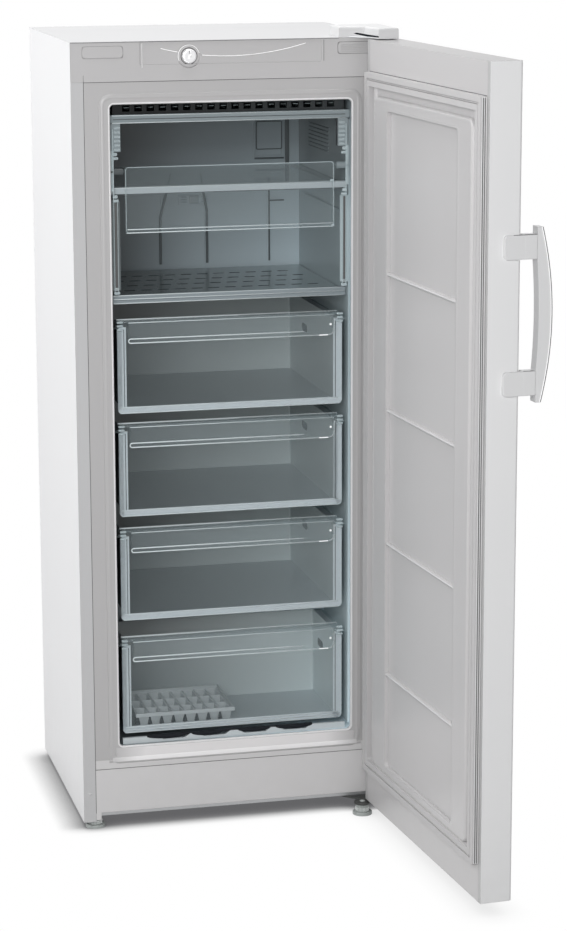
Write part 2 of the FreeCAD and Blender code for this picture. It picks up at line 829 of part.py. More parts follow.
def cover_outline(inset):
    """Outline of the hinge cover from above, drawn in by inset."""
    left_x = hinge_plate_left_x - 10 + inset
    right_x = half_width - inset
    arm_x = hinge_x - bush_radius - 14 + inset
    back_y = hinge_plate_back_y + 6 - inset
    front_y = hinge_y - bush_radius - 13 + inset
    return [(left_x, back_y), (left_x, 2.0 + inset), (arm_x - 10, inset - 2.0), (arm_x, front_y),
            (right_x, front_y), (right_x, back_y)]


def bottom_hinge():
    top_z = base_z
    low_z = top_z - hinge_bracket_thickness
    plate = plate_xy(hinge_outline(hinge_plate_left_x, hinge_plate_back_y), low_z, top_z)
    pad = Part.makeCylinder(collar_radius + 3, hinge_bracket_thickness, V(right_foot_x, right_foot_y, low_z))
    pin_top_z = door_bottom_z + hinge_pin_length
    pin = rod(hinge_pin_radius, (hinge_x, hinge_y, low_z), (hinge_x, hinge_y, pin_top_z))
    bracket = join([plate, pad, pin])
    return bracket.cut(Part.makeCylinder(stud_radius + bore_gap, 40, V(right_foot_x, right_foot_y, 0)))


def hinge_screws():
    screws = []
    top = cabinet_height + hinge_plate
    for x, y in hinge_screw_points():
        shank = Part.makeCylinder(screw_shank_radius, hinge_screw_length, V(x, y, top - hinge_screw_length))
        head = Part.makeCylinder(screw_head_radius, screw_head_height, V(x, y, top))
        screws.append(join([shank, head]))
    return screws


def cabinet_fasteners():
    """The rollers' axle pins and the top hinge's screws."""
    return group(roller_axles() + hinge_screws())


# ---------------------------------------------------------------- door, drawn closed
def door_skin():
    wall = skin
    outer = box(-half_width, half_width, door_outer_y, door_inner_y, door_bottom_z, door_top_z)

    def front_corner(middle, way):
        return near(abs(way.z), 1) and near(middle.y, door_outer_y)

    outer = round_edges(outer, door_corner_radius, front_corner)
    inner = box(-half_width + wall, half_width - wall, door_outer_y + wall, door_inner_y - wall,
                door_bottom_z - 1, door_top_z + 1)
    inner = round_edges(inner, door_corner_radius - wall,
                        lambda m, way: near(abs(way.z), 1) and near(m.y, door_outer_y + wall))
    mouth_x = half_width - door_flange_width
    mouth = box(-mouth_x, mouth_x, door_inner_y - 2 * wall, door_inner_y + 1, door_bottom_z - 1,
                door_top_z + 1)
    return outer.cut(inner).cut(mouth).cut(group(handle_screw_holes()))


def door_body(z0, z1):
    """The space between the door's skin and its liner."""
    body = box(-half_width + skin, half_width - skin, door_outer_y + skin, door_inner_y - liner_wall, z0, z1)
    return round_edges(body, door_corner_radius - skin,
                       lambda m, way: near(abs(way.z), 1) and near(m.y, door_outer_y + skin))


def door_caps():
    caps = [door_body(door_bottom_z, door_bottom_z + end_cap_height),
            door_body(door_top_z - end_cap_height, door_top_z)]
    return group([cap.cut(bush_hole()) for cap in caps])


def bush_hole():
    return group([rod(bush_radius, (hinge_x, hinge_y, door_bottom_z - 1),
                      (hinge_x, hinge_y, door_bottom_z + bush_length)),
                  rod(bush_radius, (hinge_x, hinge_y, door_top_z - bush_length),
                      (hinge_x, hinge_y, door_top_z + 1))])


def door_foam():
    foam = door_body(door_bottom_z + end_cap_height, door_top_z - end_cap_height)
    return foam.cut(bush_hole()).cut(group(handle_screw_holes()))


def door_bushes():
    bushes = []
    for z0 in (door_bottom_z, door_top_z - bush_length):
        bush = Part.makeCylinder(bush_radius, bush_length, V(hinge_x, hinge_y, z0))
        bore = Part.makeCylinder(hinge_pin_radius + bore_gap, bush_length + 2, V(hinge_x, hinge_y, z0 - 1))
        bushes.append(bush.cut(bore))
    return group(bushes)


def door_liner():
    """Inner sheet with a raised frame round a recess that has four ribs."""
    edge_x = half_width - door_flange_width
    sheet = box(-edge_x, edge_x, door_inner_y - liner_wall, door_inner_y, door_bottom_z, door_top_z)
    top_y = door_inner_y + frame_proud
    outer = rounded_plate(-frame_outer_x, frame_outer_x, door_inner_y, top_y, frame_bottom_z, frame_top_z,
                          frame_corner_radius)
    outer = outer.makeFillet(frame_edge_radius, [e for e in outer.Edges if near(e.BoundBox.YMin, top_y)])
    recess = rounded_plate(-frame_inner_x, frame_inner_x, door_inner_y, top_y + 1, recess_bottom_z,
                           recess_top_z, frame_corner_radius - frame_edge_radius)
    frame = outer.cut(recess)
    ribs = []
    for index in range(rib_count):
        z = lowest_rib_z + index * rib_pitch
        rib = box(-frame_inner_x, frame_inner_x, door_inner_y, door_inner_y + rib_proud,
                  z - rib_height / 2, z + rib_height / 2)
        rib = round_edges(rib, rib_height * 0.35,
                          lambda m, way: near(abs(way.x), 1) and near(m.y, door_inner_y + rib_proud))
        ribs.append(rib)
    return join([sheet, frame] + ribs)


def gasket_plate(inset, y0, y1, radius):
    """A plate with the gasket's outline, drawn in by inset."""
    return rounded_plate(-gasket_outer_x + inset, gasket_outer_x - inset, y0, y1,
                         gasket_bottom_z + inset, gasket_top_z - inset, radius)


def door_gasket():
    """A closed ring with a groove, whose face stops just short of the cabinet's front plane."""
    face_y = -running_gap
    ring = gasket_plate(0, door_inner_y, face_y, 5.0)
    hole = gasket_plate(gasket_width, door_inner_y - 1, 1, 3.0)
    groove_inset = (gasket_width - gasket_groove) / 2
    groove = gasket_plate(groove_inset, face_y - gasket_groove_depth, 1, 3.0)
    middle = gasket_plate(groove_inset + gasket_groove, face_y - gasket_groove_depth - 1, 2, 3.0)
    return ring.cut(groove.cut(middle)).cut(hole)


# ---------------------------------------------------------------- handle, drawn on the closed door
def handle_brackets():
    """Plates on the door's free edge that reach forward and end in the block that holds the grip."""
    brackets = []
    left = -half_width - bracket_plate
    for z in bracket_centres:
        z0, z1 = z - bracket_height / 2, z + bracket_height / 2
        plate = box(left, -half_width, grip_inner_y, bracket_back_y, z0, z1)
        plate = round_edges(plate, 3.0, lambda m, way: near(abs(way.x), 1) and near(m.y, bracket_back_y))
        arm = box(left, left + grip_width, grip_inner_y, door_outer_y - 5, z0, z1)
        bracket = join([plate, arm])
        for hole in handle_screw_holes():
            bracket = bracket.cut(hole)
        brackets.append(bracket)
    return group(brackets)


def bow_face(y0, middle_y, z0, z1):
    """The face between a straight line at y0 and an arc that reaches middle_y."""
    ends = V(0, y0, z0), V(0, y0, z1)
    chord = Part.LineSegment(*ends).toShape()
    arc = Part.Arc(ends[0], V(0, middle_y, (z0 + z1) / 2), ends[1]).toShape()
    return Part.Face(Part.Wire([arc, chord]))


def handle_grip():
    """A bow: nearly straight at the back and arched at the front."""
    left = -half_width - bracket_plate
    z0 = grip_middle_z - grip_length / 2
    z1 = grip_middle_z + grip_length / 2
    end_y = grip_inner_y - grip_end_depth
    bow = bow_face(end_y, grip_inner_y - grip_mid_depth - grip_bow, z0, z1).extrude(V(grip_width, 0, 0))
    bow.translate(V(left, 0, 0))
    grip = join([box(left, left + grip_width, end_y, grip_inner_y, z0, z1), bow])
    scoop_z = (bracket_spacing - bracket_height) / 2
    scoop = bow_face(grip_inner_y, grip_inner_y - grip_bow, grip_middle_z - scoop_z, grip_middle_z + scoop_z)
    scoop = scoop.extrude(V(grip_width + 2, 0, 0))
    scoop.translate(V(left - 1, 0, 0))
    arches = [edge for edge in grip.Edges if isinstance(edge.Curve, Part.Circle)]
    return grip.makeFillet(grip_edge_radius, arches).cut(scoop)


def handle_screw_points():
    y = (bracket_back_y + door_outer_y) / 2 + 4
    return [(y, z + side * bracket_height * 0.28) for z in bracket_centres for side in (-1, 1)]


def handle_screw_holes():
    start_x = -half_width - bracket_plate - 1
    return [rod(handle_screw_radius + running_gap / 2, (start_x, y, z),
                (-half_width + handle_screw_length, y, z)) for y, z in handle_screw_points()]


def handle_screws():
    screws = []
    face_x = -half_width - bracket_plate
    for y, z in handle_screw_points():
        shank = rod(handle_screw_radius, (face_x, y, z), (-half_width + handle_screw_length - 1, y, z))
        head = Part.makeCone(screw_head_radius * 0.9, screw_head_radius * 0.6, 1.2, V(face_x, y, z),
                             V(-1, 0, 0))
        screws.append(join([shank, head]))
    return group(screws)


# ---------------------------------------------------------------- fascia and thermostat
def control_fascia():
    inside_x = half_width - skin
    top_z = cabinet_height - skin
    front = box(-inside_x, inside_x, 0, fascia_wall, fascia_bottom_z, top_z)
    roof = box(-inside_x, inside_x, 0, fascia_depth, top_z - fascia_wall, top_z)
    floor = box(-inside_x, inside_x, 0, fascia_depth, fascia_bottom_z, fascia_bottom_z + fascia_wall)
    floor = floor.cut(box(-half_width, half_width, -1, liner_wall, 0, fascia_bottom_z))
    ribs = [box(x - fascia_rib_sheet / 2, x + fascia_rib_sheet / 2, 0, fascia_depth, fascia_bottom_z, top_z)
            for x in (-fascia_rib_x, fascia_rib_x)]
    fascia = join([front, roof, floor] + ribs)
    field = rounded_plate(-field_width / 2, field_width / 2, -1, field_recess,
                          fascia_bottom_z + field_rise, top_z + 8, 3.0)
    ring = knob_disc(knob_ring_gap + knob_ring_width, field_recess + groove_depth)
    ring = ring.cut(knob_disc(knob_ring_gap, field_recess + groove_depth + 1))
    groove = smile_groove()
    shaft = rod(knob_shaft_radius + bore_gap, (knob_x, -5, knob_z), (knob_x, fascia_wall + 1, knob_z))
    cuts = [field, ring, groove, shaft]
    for side in (-1, 1):
        x = side * cap_centre_x
        cuts.append(cap_plate(x, -1, cap_seat, running_gap))
    cuts += hinge_screw_holes(fascia_bottom_z + fascia_wall, top_z)
    for cutter in cuts:
        fascia = fascia.cut(cutter)
    return fascia


def knob_disc(margin, back_y):
    """A cutter round the knob's axis, margin wider than the knob."""
    return rod(knob_radius + margin, (knob_x, -2, knob_z), (knob_x, back_y, knob_z))


def smile_groove():
    """A thin arc across the recessed field, low in the middle."""
    points = [V(x, 0, fascia_bottom_z + rise) for x, rise in (smile_left, smile_middle, smile_right)]
    arc = Part.Arc(*points).toShape().Curve
    bands = [Part.makeCylinder(arc.Radius + grow, 5.0, V(arc.Center.x, -2, arc.Center.z), V(0, 1, 0))
             for grow in (smile_width / 2, -smile_width / 2)]
    window = box(smile_left[0], smile_right[0], -1, field_recess + groove_depth,
                 points[1].z - smile_width, points[2].z)
    return bands[0].cut(bands[1]).common(window).cut(knob_disc(knob_ring_gap, 5.0))


def cap_plate(x, y0, y1, grow):
    """The outline of a blanking cap, moved out by grow."""
    half_long = cap_width / 2 + grow
    half_high = cap_height / 2 + grow
    return rounded_plate(x - half_long, x + half_long, y0, y1, cap_centre_z - half_high,
                         cap_centre_z + half_high, cap_height * 0.3)


def fascia_caps():
    caps = []
    for side in (-1, 1):
        cap = cap_plate(side * cap_centre_x, -cap_proud, cap_seat, 0)
        rim = [edge for edge in cap.Edges if near(edge.BoundBox.YMax, -cap_proud)]
        caps.append(cap.makeFillet(cap_proud * 0.6, rim))
    return group(caps)


def thermostat_body():
    front_y = fascia_wall
    half_wide = thermostat_width / 2
    half_high = thermostat_height / 2
    body = box(knob_x - half_wide, knob_x + half_wide, front_y, front_y + thermostat_depth,
               knob_z - half_high, knob_z + half_high)
    bore = rod(knob_shaft_radius + bore_gap, (knob_x, front_y - 1, knob_z), (knob_x, front_y + 22, knob_z))
    return body.cut(bore)


def thermostat_knob():
    back_y = field_recess - running_gap
    front_y = back_y - knob_length
    body = rod(knob_radius, (knob_x, front_y, knob_z), (knob_x, back_y, knob_z))
    body = body.makeFillet(3.5, [e for e in body.Edges if e.Closed and near(e.BoundBox.YMin, front_y)])
    pointer = box(knob_x - 1.0, knob_x + 1.0, front_y - 1, front_y + 1.2, knob_z + 3.0,
                  knob_z + knob_radius + 1)
    shaft = rod(knob_shaft_radius, (knob_x, back_y, knob_z), (knob_x, fascia_wall + 20, knob_z))
    return join([body.cut(pointer), shaft])


# ---------------------------------------------------------------- runners and shelves
def ledge_levels():
    """Height of each ledge's upper face and how far back it runs."""
    levels = [(glass_top_z - glass_thickness, runner_back_y),
              (perforated_top_z - perforated_thickness, runner_back_y)]
    for name, low, high, back, hole_back in drawer_table:
        runs_to = runner_back_y if name != "bottom" else runner_step_back_y
        levels.append((high - tub_drop - rim_thickness - running_gap, runs_to))
    return levels


def ledge_pegs(radius):
    """The pegs that hold each ledge in the frame, as one list for each ledge."""
    pegs = []
    for z, back_y in ledge_levels():
        first_y = ledge_front_y + ledge_peg_inset
        pitch = (back_y - ledge_peg_inset - first_y) / (ledge_peg_count - 1)
        middle_z = z - ledge_thickness / 2
        pegs.append([rod(radius, (-half_cavity, first_y + index * pitch, middle_z),
                         (1 - runner_inner_x, first_y + index * pitch, middle_z))
                     for index in range(ledge_peg_count)])
    return pegs


def runner_frame():
    """The left frame with its pegged ledges; the right one is its mirror image."""
    outer_x = -half_cavity
    inner_x = -runner_inner_x
    upper = box(outer_x, inner_x, runner_front_y, runner_back_y, step_z + 5, runner_top_z)
    lower = box(outer_x, inner_x, runner_front_y, runner_step_back_y, runner_bottom_z, step_z + 5)
    ledges = []
    for (z, back_y), pegs in zip(ledge_levels(), ledge_pegs(ledge_peg_radius)):
        ledge = box(inner_x + bore_gap, -ledge_inner_x, ledge_front_y, back_y, z - ledge_thickness, z)
        ledges.append(join([ledge] + pegs))
    peg_holes = sum(ledge_pegs(ledge_peg_radius + bore_gap), [])
    boss_inner = flap_width / 2 + running_gap
    boss = rod(flap_boss_radius, (inner_x, flap_pivot_y, flap_pivot_z),
               (-boss_inner - 4, flap_pivot_y, flap_pivot_z))
    post = box(inner_x - 0.5, -ledge_inner_x, runner_front_y, runner_front_y + 5, perforated_top_z + 20,
               glass_top_z - 20)
    bore = rod(flap_pin_radius + bore_gap, (-flap_width / 2, flap_pivot_y, flap_pivot_z),
               (-flap_width / 2 - flap_pin_length - 1, flap_pivot_y, flap_pivot_z))
    wall = join([upper, lower, boss, post]).cut(group([bore] + peg_holes))
    return group([wall] + ledges)


def glass_shelf():
    return box(-shelf_half_width, shelf_half_width, trim_front_y + 5, shelf_back_y,
               glass_top_z - glass_thickness, glass_top_z)


def glass_shelf_trim():
    middle_z = glass_top_z - glass_thickness / 2
    bar = box(-shelf_half_width, shelf_half_width, trim_front_y, trim_front_y + trim_depth,
              middle_z - trim_height / 2, middle_z + trim_height / 2)
    bar = round_edges(bar, 3.0, lambda m, way: near(abs(way.x), 1) and near(m.y, trim_front_y))
    slot = box(-half_width, half_width, trim_front_y + 5, trim_front_y + trim_depth + 1,
               glass_top_z - glass_thickness, glass_top_z)
    return bar.cut(slot)


def perforated_shelf():
    """A plate with staggered slots behind a grooved front rail."""
    top = perforated_top_z
    plate = box(-shelf_half_width, shelf_half_width, trim_front_y + rail_depth, shelf_back_y,
                top - perforated_thickness, top)
    rail = box(-shelf_half_width, shelf_half_width, trim_front_y, trim_front_y + rail_depth,
               top - rail_height / 2, top + rail_height / 2)
    rail = round_edges(rail, 2.5, lambda m, way: near(abs(way.x), 1) and near(m.y, trim_front_y))
    groove = box(-half_width, half_width, trim_front_y - 1, trim_front_y + 2.0, top - 1.5, top + 1.0)
    holes = []
    pitch_x = 2 * (ledge_inner_x - hole_margin_x) / hole_columns
    pitch_y = (shelf_back_y - trim_front_y - hole_margin_y) / hole_rows
    half = (hole_length - hole_width) / 2
    for row in range(hole_rows):
        y = trim_front_y + hole_margin_y + (row - 0.25) * pitch_y
        stagger = pitch_x / 4 if row % 2 else -pitch_x / 4
        for column in range(hole_columns):
            x = (column - (hole_columns - 1) / 2) * pitch_x + stagger
            holes.append(box(x - half, x + half, y - hole_width / 2, y + hole_width / 2, top - 10, top + 5))
            for end in (-half, half):
                holes.append(Part.makeCylinder(hole_width / 2, 15, V(x + end, y, top - 10)))
    cutter = holes[0].multiFuse(holes[1:])
    return join([plate.cut(cutter), rail.cut(groove)])


def clear_flap():
    side = flap_width / 2
    low_z = flap_top_z - flap_height
    plate = box(-side, side, flap_front_y, flap_front_y + flap_wall, low_z, flap_top_z)
    returns = [box(x0, x0 + flap_wall, flap_front_y, flap_front_y + flap_return, low_z, flap_top_z)
               for x0 in (-side, side - flap_wall)]
    lip = box(-side, side, flap_front_y - 3, flap_front_y + flap_return, low_z, low_z + flap_wall)
    pins = [rod(flap_pin_radius, (x * (side - flap_wall), flap_pivot_y, flap_pivot_z),
                (x * (side + flap_pin_length), flap_pivot_y, flap_pivot_z)) for x in (-1, 1)]
    return join([plate] + returns + [lip] + pins)


def floor_strip():
    """A low strip on the cavity's floor with scalloped air inlets."""
    z0 = cavity_bottom_z
    side = half_cavity - opening_corner_radius
    strip = box(-side, side, strip_front_y, strip_front_y + strip_depth, z0, z0 + strip_height)
    inlets = []
    for index in range(inlet_count):
        x = (index - (inlet_count - 1) / 2) * inlet_pitch
        top = z0 + strip_height
        half = inlet_width / 2
        points = [(x - half, top + 1), (x - half + inlet_slope, top - inlet_height),
                  (x + half - inlet_slope, top - inlet_height), (x + half, top + 1)]
        inlets.append(plate_xz(points, strip_front_y - 1, strip_front_y + strip_depth + 1))
    return strip.cut(group(inlets))


# ---------------------------------------------------------------- top duct
def top_air_duct():
    side = half_cavity - running_gap
    rail = box(-side, side, duct_front_y, duct_front_y + duct_rail_depth, duct_bottom_z,
               duct_bottom_z + duct_rail_height)
    rail = round_edges(rail, 3.0, lambda m, way: near(abs(way.x), 1) and near(m.y, duct_front_y))
    floor = box(-side, side, duct_front_y + duct_rail_depth, cover_front_y - running_gap, duct_bottom_z,
                duct_bottom_z + duct_wall)
    screen_y = duct_front_y + duct_rail_depth - duct_wall
    screen_z = duct_bottom_z + duct_rail_height
    screen_side = side - opening_corner_radius
    screen = box(-screen_side, screen_side, screen_y, screen_y + duct_wall, screen_z,
                 cavity_top_z - running_gap)
    pitch = 2 * (screen_side - louvre_width) / louvre_count
    slots = []
    for index in range(louvre_count):
        x = (index - (louvre_count - 1) / 2) * pitch
        middle = (screen_z + cavity_top_z) / 2
        slots.append(box(x - louvre_width / 2, x + louvre_width / 2, screen_y - 1, screen_y + duct_wall + 1,
                         middle - louvre_height / 2, middle + louvre_height / 2))
    screen = screen.cut(group(slots))
    brackets = []
    for face in (-1, 1):
        x0 = face * runner_inner_x - (bracket_width if face > 0 else 0)
        x0 -= face * running_gap
        brackets.append(box(x0, x0 + bracket_width, duct_front_y, duct_front_y + duct_rail_depth + 6,
                            duct_bottom_z - bracket_drop, duct_bottom_z))
    return join([rail, floor, screen] + brackets)


# ---------------------------------------------------------------- evaporator space
def evaporator_cover():
    """The visible back wall: recess, duct ribs and return slots. The fan's air leaves over its top edge."""
    side = half_cavity - running_gap
    front_y = cover_front_y
    back_y = front_y + cover_wall
    plate = box(-side, side, front_y, back_y, step_z + running_gap, duct_bottom_z + duct_rail_height)
    raised = [box(x - cover_rib_width / 2, x + cover_rib_width / 2, front_y - cover_rib_proud, front_y,
                  perforated_top_z + cover_rib_rise, perforated_top_z + rise) for x, rise in cover_ribs]
    raised += [box(x0, x0 + cover_pad_width, front_y - cover_pad_proud, front_y, cover_pad_low_z,
                   cover_pad_low_z + cover_pad_height) for x0 in cover_pad_x]
    frames = []
    for inset, reach in ((0, 0), (cover_frame_border, 1)):
        frames.append(box(cover_frame_x + inset, cover_frame_x + cover_frame_width - inset,
                          front_y - cover_rib_proud - reach, front_y + reach, cover_frame_low_z + inset,
                          cover_frame_low_z + cover_frame_height - inset))
    cover = join([plate, frames[0].cut(frames[1])] + raised)
    slots = []
    for index in range(return_slots):
        x = (index - (return_slots - 1) / 2) * return_pitch
        slots.append(slot_cutter(x, step_z + return_rise, return_length, return_height, front_y - 1,
                                 back_y + 1))
    return cover.cut(group(slots))


def coil_span():
    return coil_bottom_z, coil_bottom_z + (coil_rows - 1) * coil_pitch


def evaporator_coil():
    return serpentine(coil_tube_radius, coil_half_width, coil_y, coil_bottom_z, coil_rows, coil_pitch)


def bores_along_x(radius, reach, levels):
    return group([rod(radius, (-reach, coil_y, z), (reach, coil_y, z)) for z in levels])


def evaporator_fins():
    """Thin plates on the coil, and two thicker end plates that also hold the heater."""
    low, high = coil_span()
    straight = coil_half_width - coil_pitch / 2
    rows = [low + row * coil_pitch for row in range(coil_rows)]
    coil_bores = bores_along_x(coil_tube_radius + running_gap / 2, coil_half_width, rows)
    heater_bores = bores_along_x(heater_tube_radius + running_gap / 2, coil_half_width, heater_levels())
    fins = []
    for index in range(fin_count):
        x = -straight + fin_inset + index * 2 * (straight - fin_inset) / (fin_count - 1)
        if index in (0, fin_count - 1):
            fin = box(x - end_plate_thickness / 2, x + end_plate_thickness / 2,
                      cover_front_y + cover_wall + running_gap, cavity_depth - running_gap,
                      heater_levels()[0] - fin_margin, high + fin_margin).cut(heater_bores)
        else:
            fin = box(x - fin_thickness / 2, x + fin_thickness / 2, coil_y - fin_depth / 2,
                      coil_y + fin_depth / 2, low - fin_margin, high + fin_margin)
        fins.append(fin.cut(coil_bores))
    return fins


def evaporator():
    """The coil with its pressed-on fins."""
    return group([evaporator_coil()] + evaporator_fins())


def heater_levels():
    return (coil_bottom_z - heater_drop - heater_pitch, coil_bottom_z - heater_drop)


def defrost_heater():
    return serpentine(heater_tube_radius, coil_half_width, coil_y, heater_levels()[0], 2, heater_pitch)


def motor_front_y():
    return cavity_depth - motor_depth


def fan_motor():
    back = cavity_depth
    body = rod(motor_radius, (fan_x, motor_front_y(), fan_z), (fan_x, back, fan_z))
    shaft = rod(fan_shaft_radius, (fan_x, motor_front_y() - fan_depth, fan_z), (fan_x, back, fan_z))
    return join([body, shaft])


def fan_blade():
    """A hub with pitched blades on the motor's shaft."""
    back = motor_front_y() - 1.0
    front = back - fan_depth
    hub = rod(fan_hub_radius, (fan_x, front, fan_z), (fan_x, back, fan_z))
    blades = []
    for index in range(fan_blades):
        blade = box(-blade_width / 2, blade_width / 2, -blade_sheet / 2, blade_sheet / 2,
                    fan_hub_radius - blade_root, fan_radius)
        blade.rotate(V(0, 0, 0), V(0, 0, 1), blade_pitch)
        blade.translate(V(0, (front + back) / 2, 0))
        blade.rotate(V(0, 0, 0), V(0, 1, 0), index * 360 / fan_blades)
        blade.translate(V(fan_x, 0, fan_z))
        blades.append(blade)
    shaft_end = motor_front_y() - fan_depth - running_gap
    bore = rod(fan_shaft_radius + bore_gap, (fan_x, shaft_end, fan_z), (fan_x, back + 1, fan_z))
    return join([hub] + blades).cut(bore)


def drain_pipe():
    low_z = compressor_top_z() + drain_end_gap
    outer = Part.makeCylinder(drain_radius, step_z - low_z, V(0, coil_y, low_z))
    bore = Part.makeCylinder(drain_radius - drain_wall, step_z, V(0, coil_y, 0))
    return outer.cut(bore)


# ---------------------------------------------------------------- drawers and ice tray
def grip_hole(x, y, z):
    """A stadium-shaped cutter along X, longer side along Y."""
    half = (grip_hole_length - grip_hole_height) / 2
    radius = grip_hole_height / 2
    reach = 2 * tub_wall
    middle = box(x - reach, x + reach, y - half, y + half, z - radius, z + radius)
    ends = [rod(radius, (x - reach, y + end, z), (x + reach, y + end, z)) for end in (-half, half)]
    return join([middle] + ends)


def drawer_tub(low, high, back_y, hole_back):
    """An open tub with rims that slide on the ledges and a frame round its clear front."""
    rim_z = high - tub_drop
    side = tub_width / 2
    front_side = drawer_front_width / 2
    floor_z = low + tub_foot
    body = box(-side, side, tub_front_y + 2, back_y, floor_z, rim_z)

    def outside(middle, way):
        return near(middle.z, floor_z) or (near(abs(way.z), 1) and near(middle.y, back_y))

    body = round_edges(body, 6.0, outside)
    hollow = box(-side + tub_wall, side - tub_wall, tub_front_y - 5, back_y - tub_wall, floor_z + tub_wall,
                 rim_z + 5)
    hollow = round_edges(hollow, 4.0, lambda m, way: near(abs(way.z), 1) and near(m.y, back_y - tub_wall))
    rims = [box(x0, x1, ledge_front_y, back_y - 8, rim_z - rim_thickness, rim_z)
            for x0, x1 in ((-front_side, -side + tub_wall), (side - tub_wall, front_side))]
    frame = rounded_plate(-front_side, front_side, tub_front_y, tub_front_y + 2, low, rim_z,
                          front_corner_radius)
    window = box(-front_side + window_side, front_side - window_side, tub_front_y - 1, tub_front_y + 3,
                 low + window_bottom, rim_z + 1)
    tub = join([body.cut(hollow)] + rims + [frame]).cut(window)
    holes = [grip_hole(x, back_y - hole_back, rim_z - grip_hole_drop) for x in (-side, side)]
    return tub.cut(group(holes))


def drawer_front(low, high):
    """A clear panel whose upper edge turns forward and down into a grip lip."""
    side = drawer_front_width / 2
    face_y = tub_front_y - front_panel
    panel = rounded_plate(-side, side, face_y, tub_front_y, low, high, front_corner_radius)
    front_y = face_y - lip_proud
    half = lip_width / 2
    top = high - 1
    low_edge = high - lip_drop
    roof = box(-half, half, front_y, face_y, top - lip_wall, top)
    drop = box(-half, half, front_y, front_y + lip_wall, low_edge, top)
    drop = round_edges(drop, lip_corner_radius, lambda m, way: near(abs(way.y), 1) and near(m.z, low_edge))
    cheeks = [box(x0, x0 + lip_wall, front_y, face_y, low_edge + cheek_rise, top)
              for x0 in (-half, half - lip_wall)]
    return join([panel, roof, drop] + cheeks)


def ice_tray(floor_z):
    """Rows of tapered wells under a shallow rim."""
    x0, y0 = tray_left_x, tray_front_y
    x1, y1 = x0 + tray_length, y0 + tray_width
    top_z = floor_z + tray_height
    deck_z = top_z - tray_rim_depth
    rim = box(x0, x1, y0, y1, deck_z - tray_wall, top_z)
    hollow = box(x0 + tray_rim_width, x1 - tray_rim_width, y0 + tray_rim_width, y1 - tray_rim_width, deck_z,
                 top_z + 1)
    edge = tray_rim_width + 2.0
    pitch_x = (tray_length - 2 * edge) / tray_columns
    pitch_y = (tray_width - 2 * edge) / tray_rows
    wide, deep = pitch_x - cell_spacing, pitch_y - cell_spacing
    cells, wells = [], []
    for column in range(tray_columns):
        for row in range(tray_rows):
            cx = x0 + edge + pitch_x * (column + 0.5)
            cy = y0 + edge + pitch_y * (row + 0.5)
            cells.append(taper(cx, cy, wide, deep, deck_z - tray_wall / 2, floor_z, cell_taper))
            wells.append(taper(cx, cy, wide - 2 * tray_wall, deep - 2 * tray_wall, deck_z + 1,
                               floor_z + tray_wall, cell_taper))
    return join([rim.cut(hollow)] + cells).cut(group(wells))


def taper(cx, cy, wide, deep, top_z, bottom_z, share):
    """A box that narrows towards its bottom."""
    def ring(scale, z):
        w, d = wide * scale / 2, deep * (1 + scale) / 4
        return Part.makePolygon([V(cx - w, cy - d, z), V(cx + w, cy - d, z), V(cx + w, cy + d, z),
                                 V(cx - w, cy + d, z), V(cx - w, cy - d, z)])
    return Part.makeLoft([ring(share, bottom_z), ring(1.0, top_z)], True, True)


# ---------------------------------------------------------------- compressor bay
def compressor_bottom_z():
    return base_top_z + mount_height - mount_squeeze


def compressor_top_z():
    return compressor_bottom_z() + compressor_height


def compressor():
    """A domed pot on a foot plate."""
    z0, z1 = compressor_bottom_z(), compressor_top_z()
    waist_z, shoulder_z = z0 + compressor_dome * 0.7, z1 - compressor_dome
    floor_radius, crown_radius = compressor_radius * 0.7, compressor_radius * 0.28
    outline = [V(crown_radius, 0, z1), V(0, 0, z1), V(0, 0, z0), V(floor_radius, 0, z0),
               V(compressor_radius, 0, waist_z), V(compressor_radius, 0, shoulder_z)]
    edges = [Part.LineSegment(a, b).toShape() for a, b in zip(outline, outline[1:])]
    bulge = V(compressor_radius * 0.76, 0, z1 - compressor_dome * 0.26)
    edges.append(Part.Arc(outline[-1], bulge, outline[0]).toShape())
    pot = Part.Face(Part.Wire(edges)).revolve(V(0, 0, 0), V(0, 0, 1), 360)
    pot.translate(V(compressor_x, compressor_y, 0))
    half_x = mount_spacing_x / 2 + foot_plate_margin
    half_y = mount_spacing_y / 2 + foot_plate_margin
    plate_z = z0 - compressor_foot_sheet
    plate = box(compressor_x - half_x, compressor_x + half_x, compressor_y - half_y, compressor_y + half_y,
                plate_z, z0)
    holes = [Part.makeCylinder(mount_neck_radius + running_gap, 20, V(x, y, plate_z - 5))
             for x, y in mount_points()]
    return join([pot, plate]).cut(group(holes))


def mount_points():
    return [(compressor_x + a * mount_spacing_x / 2, compressor_y + b * mount_spacing_y / 2)
            for a in (-1, 1) for b in (-1, 1)]


def compressor_mounts():
    """Rubber grommets: a wide foot and a neck through the compressor's plate."""
    plate_z = compressor_bottom_z() - compressor_foot_sheet
    mounts = []
    for x, y in mount_points():
        foot = Part.makeCylinder(mount_radius, plate_z - base_top_z, V(x, y, base_top_z))
        neck = Part.makeCylinder(mount_neck_radius, compressor_foot_sheet + 6, V(x, y, plate_z))
        mounts.append(join([foot, neck]))
    return mounts


def terminal_box():
    """The cover of the compressor's terminals, hollowed to fit the pot."""
    x1 = compressor_x - compressor_radius * 0.985
    z0 = compressor_bottom_z() + terminal_rise
    body = box(x1 - terminal_depth, x1, compressor_y - terminal_width / 2, compressor_y + terminal_width / 2,
               z0, z0 + terminal_height)
    return body.cut(Part.makeCylinder(compressor_radius + running_gap, compressor_height,
                                      V(compressor_x, compressor_y, compressor_bottom_z())))


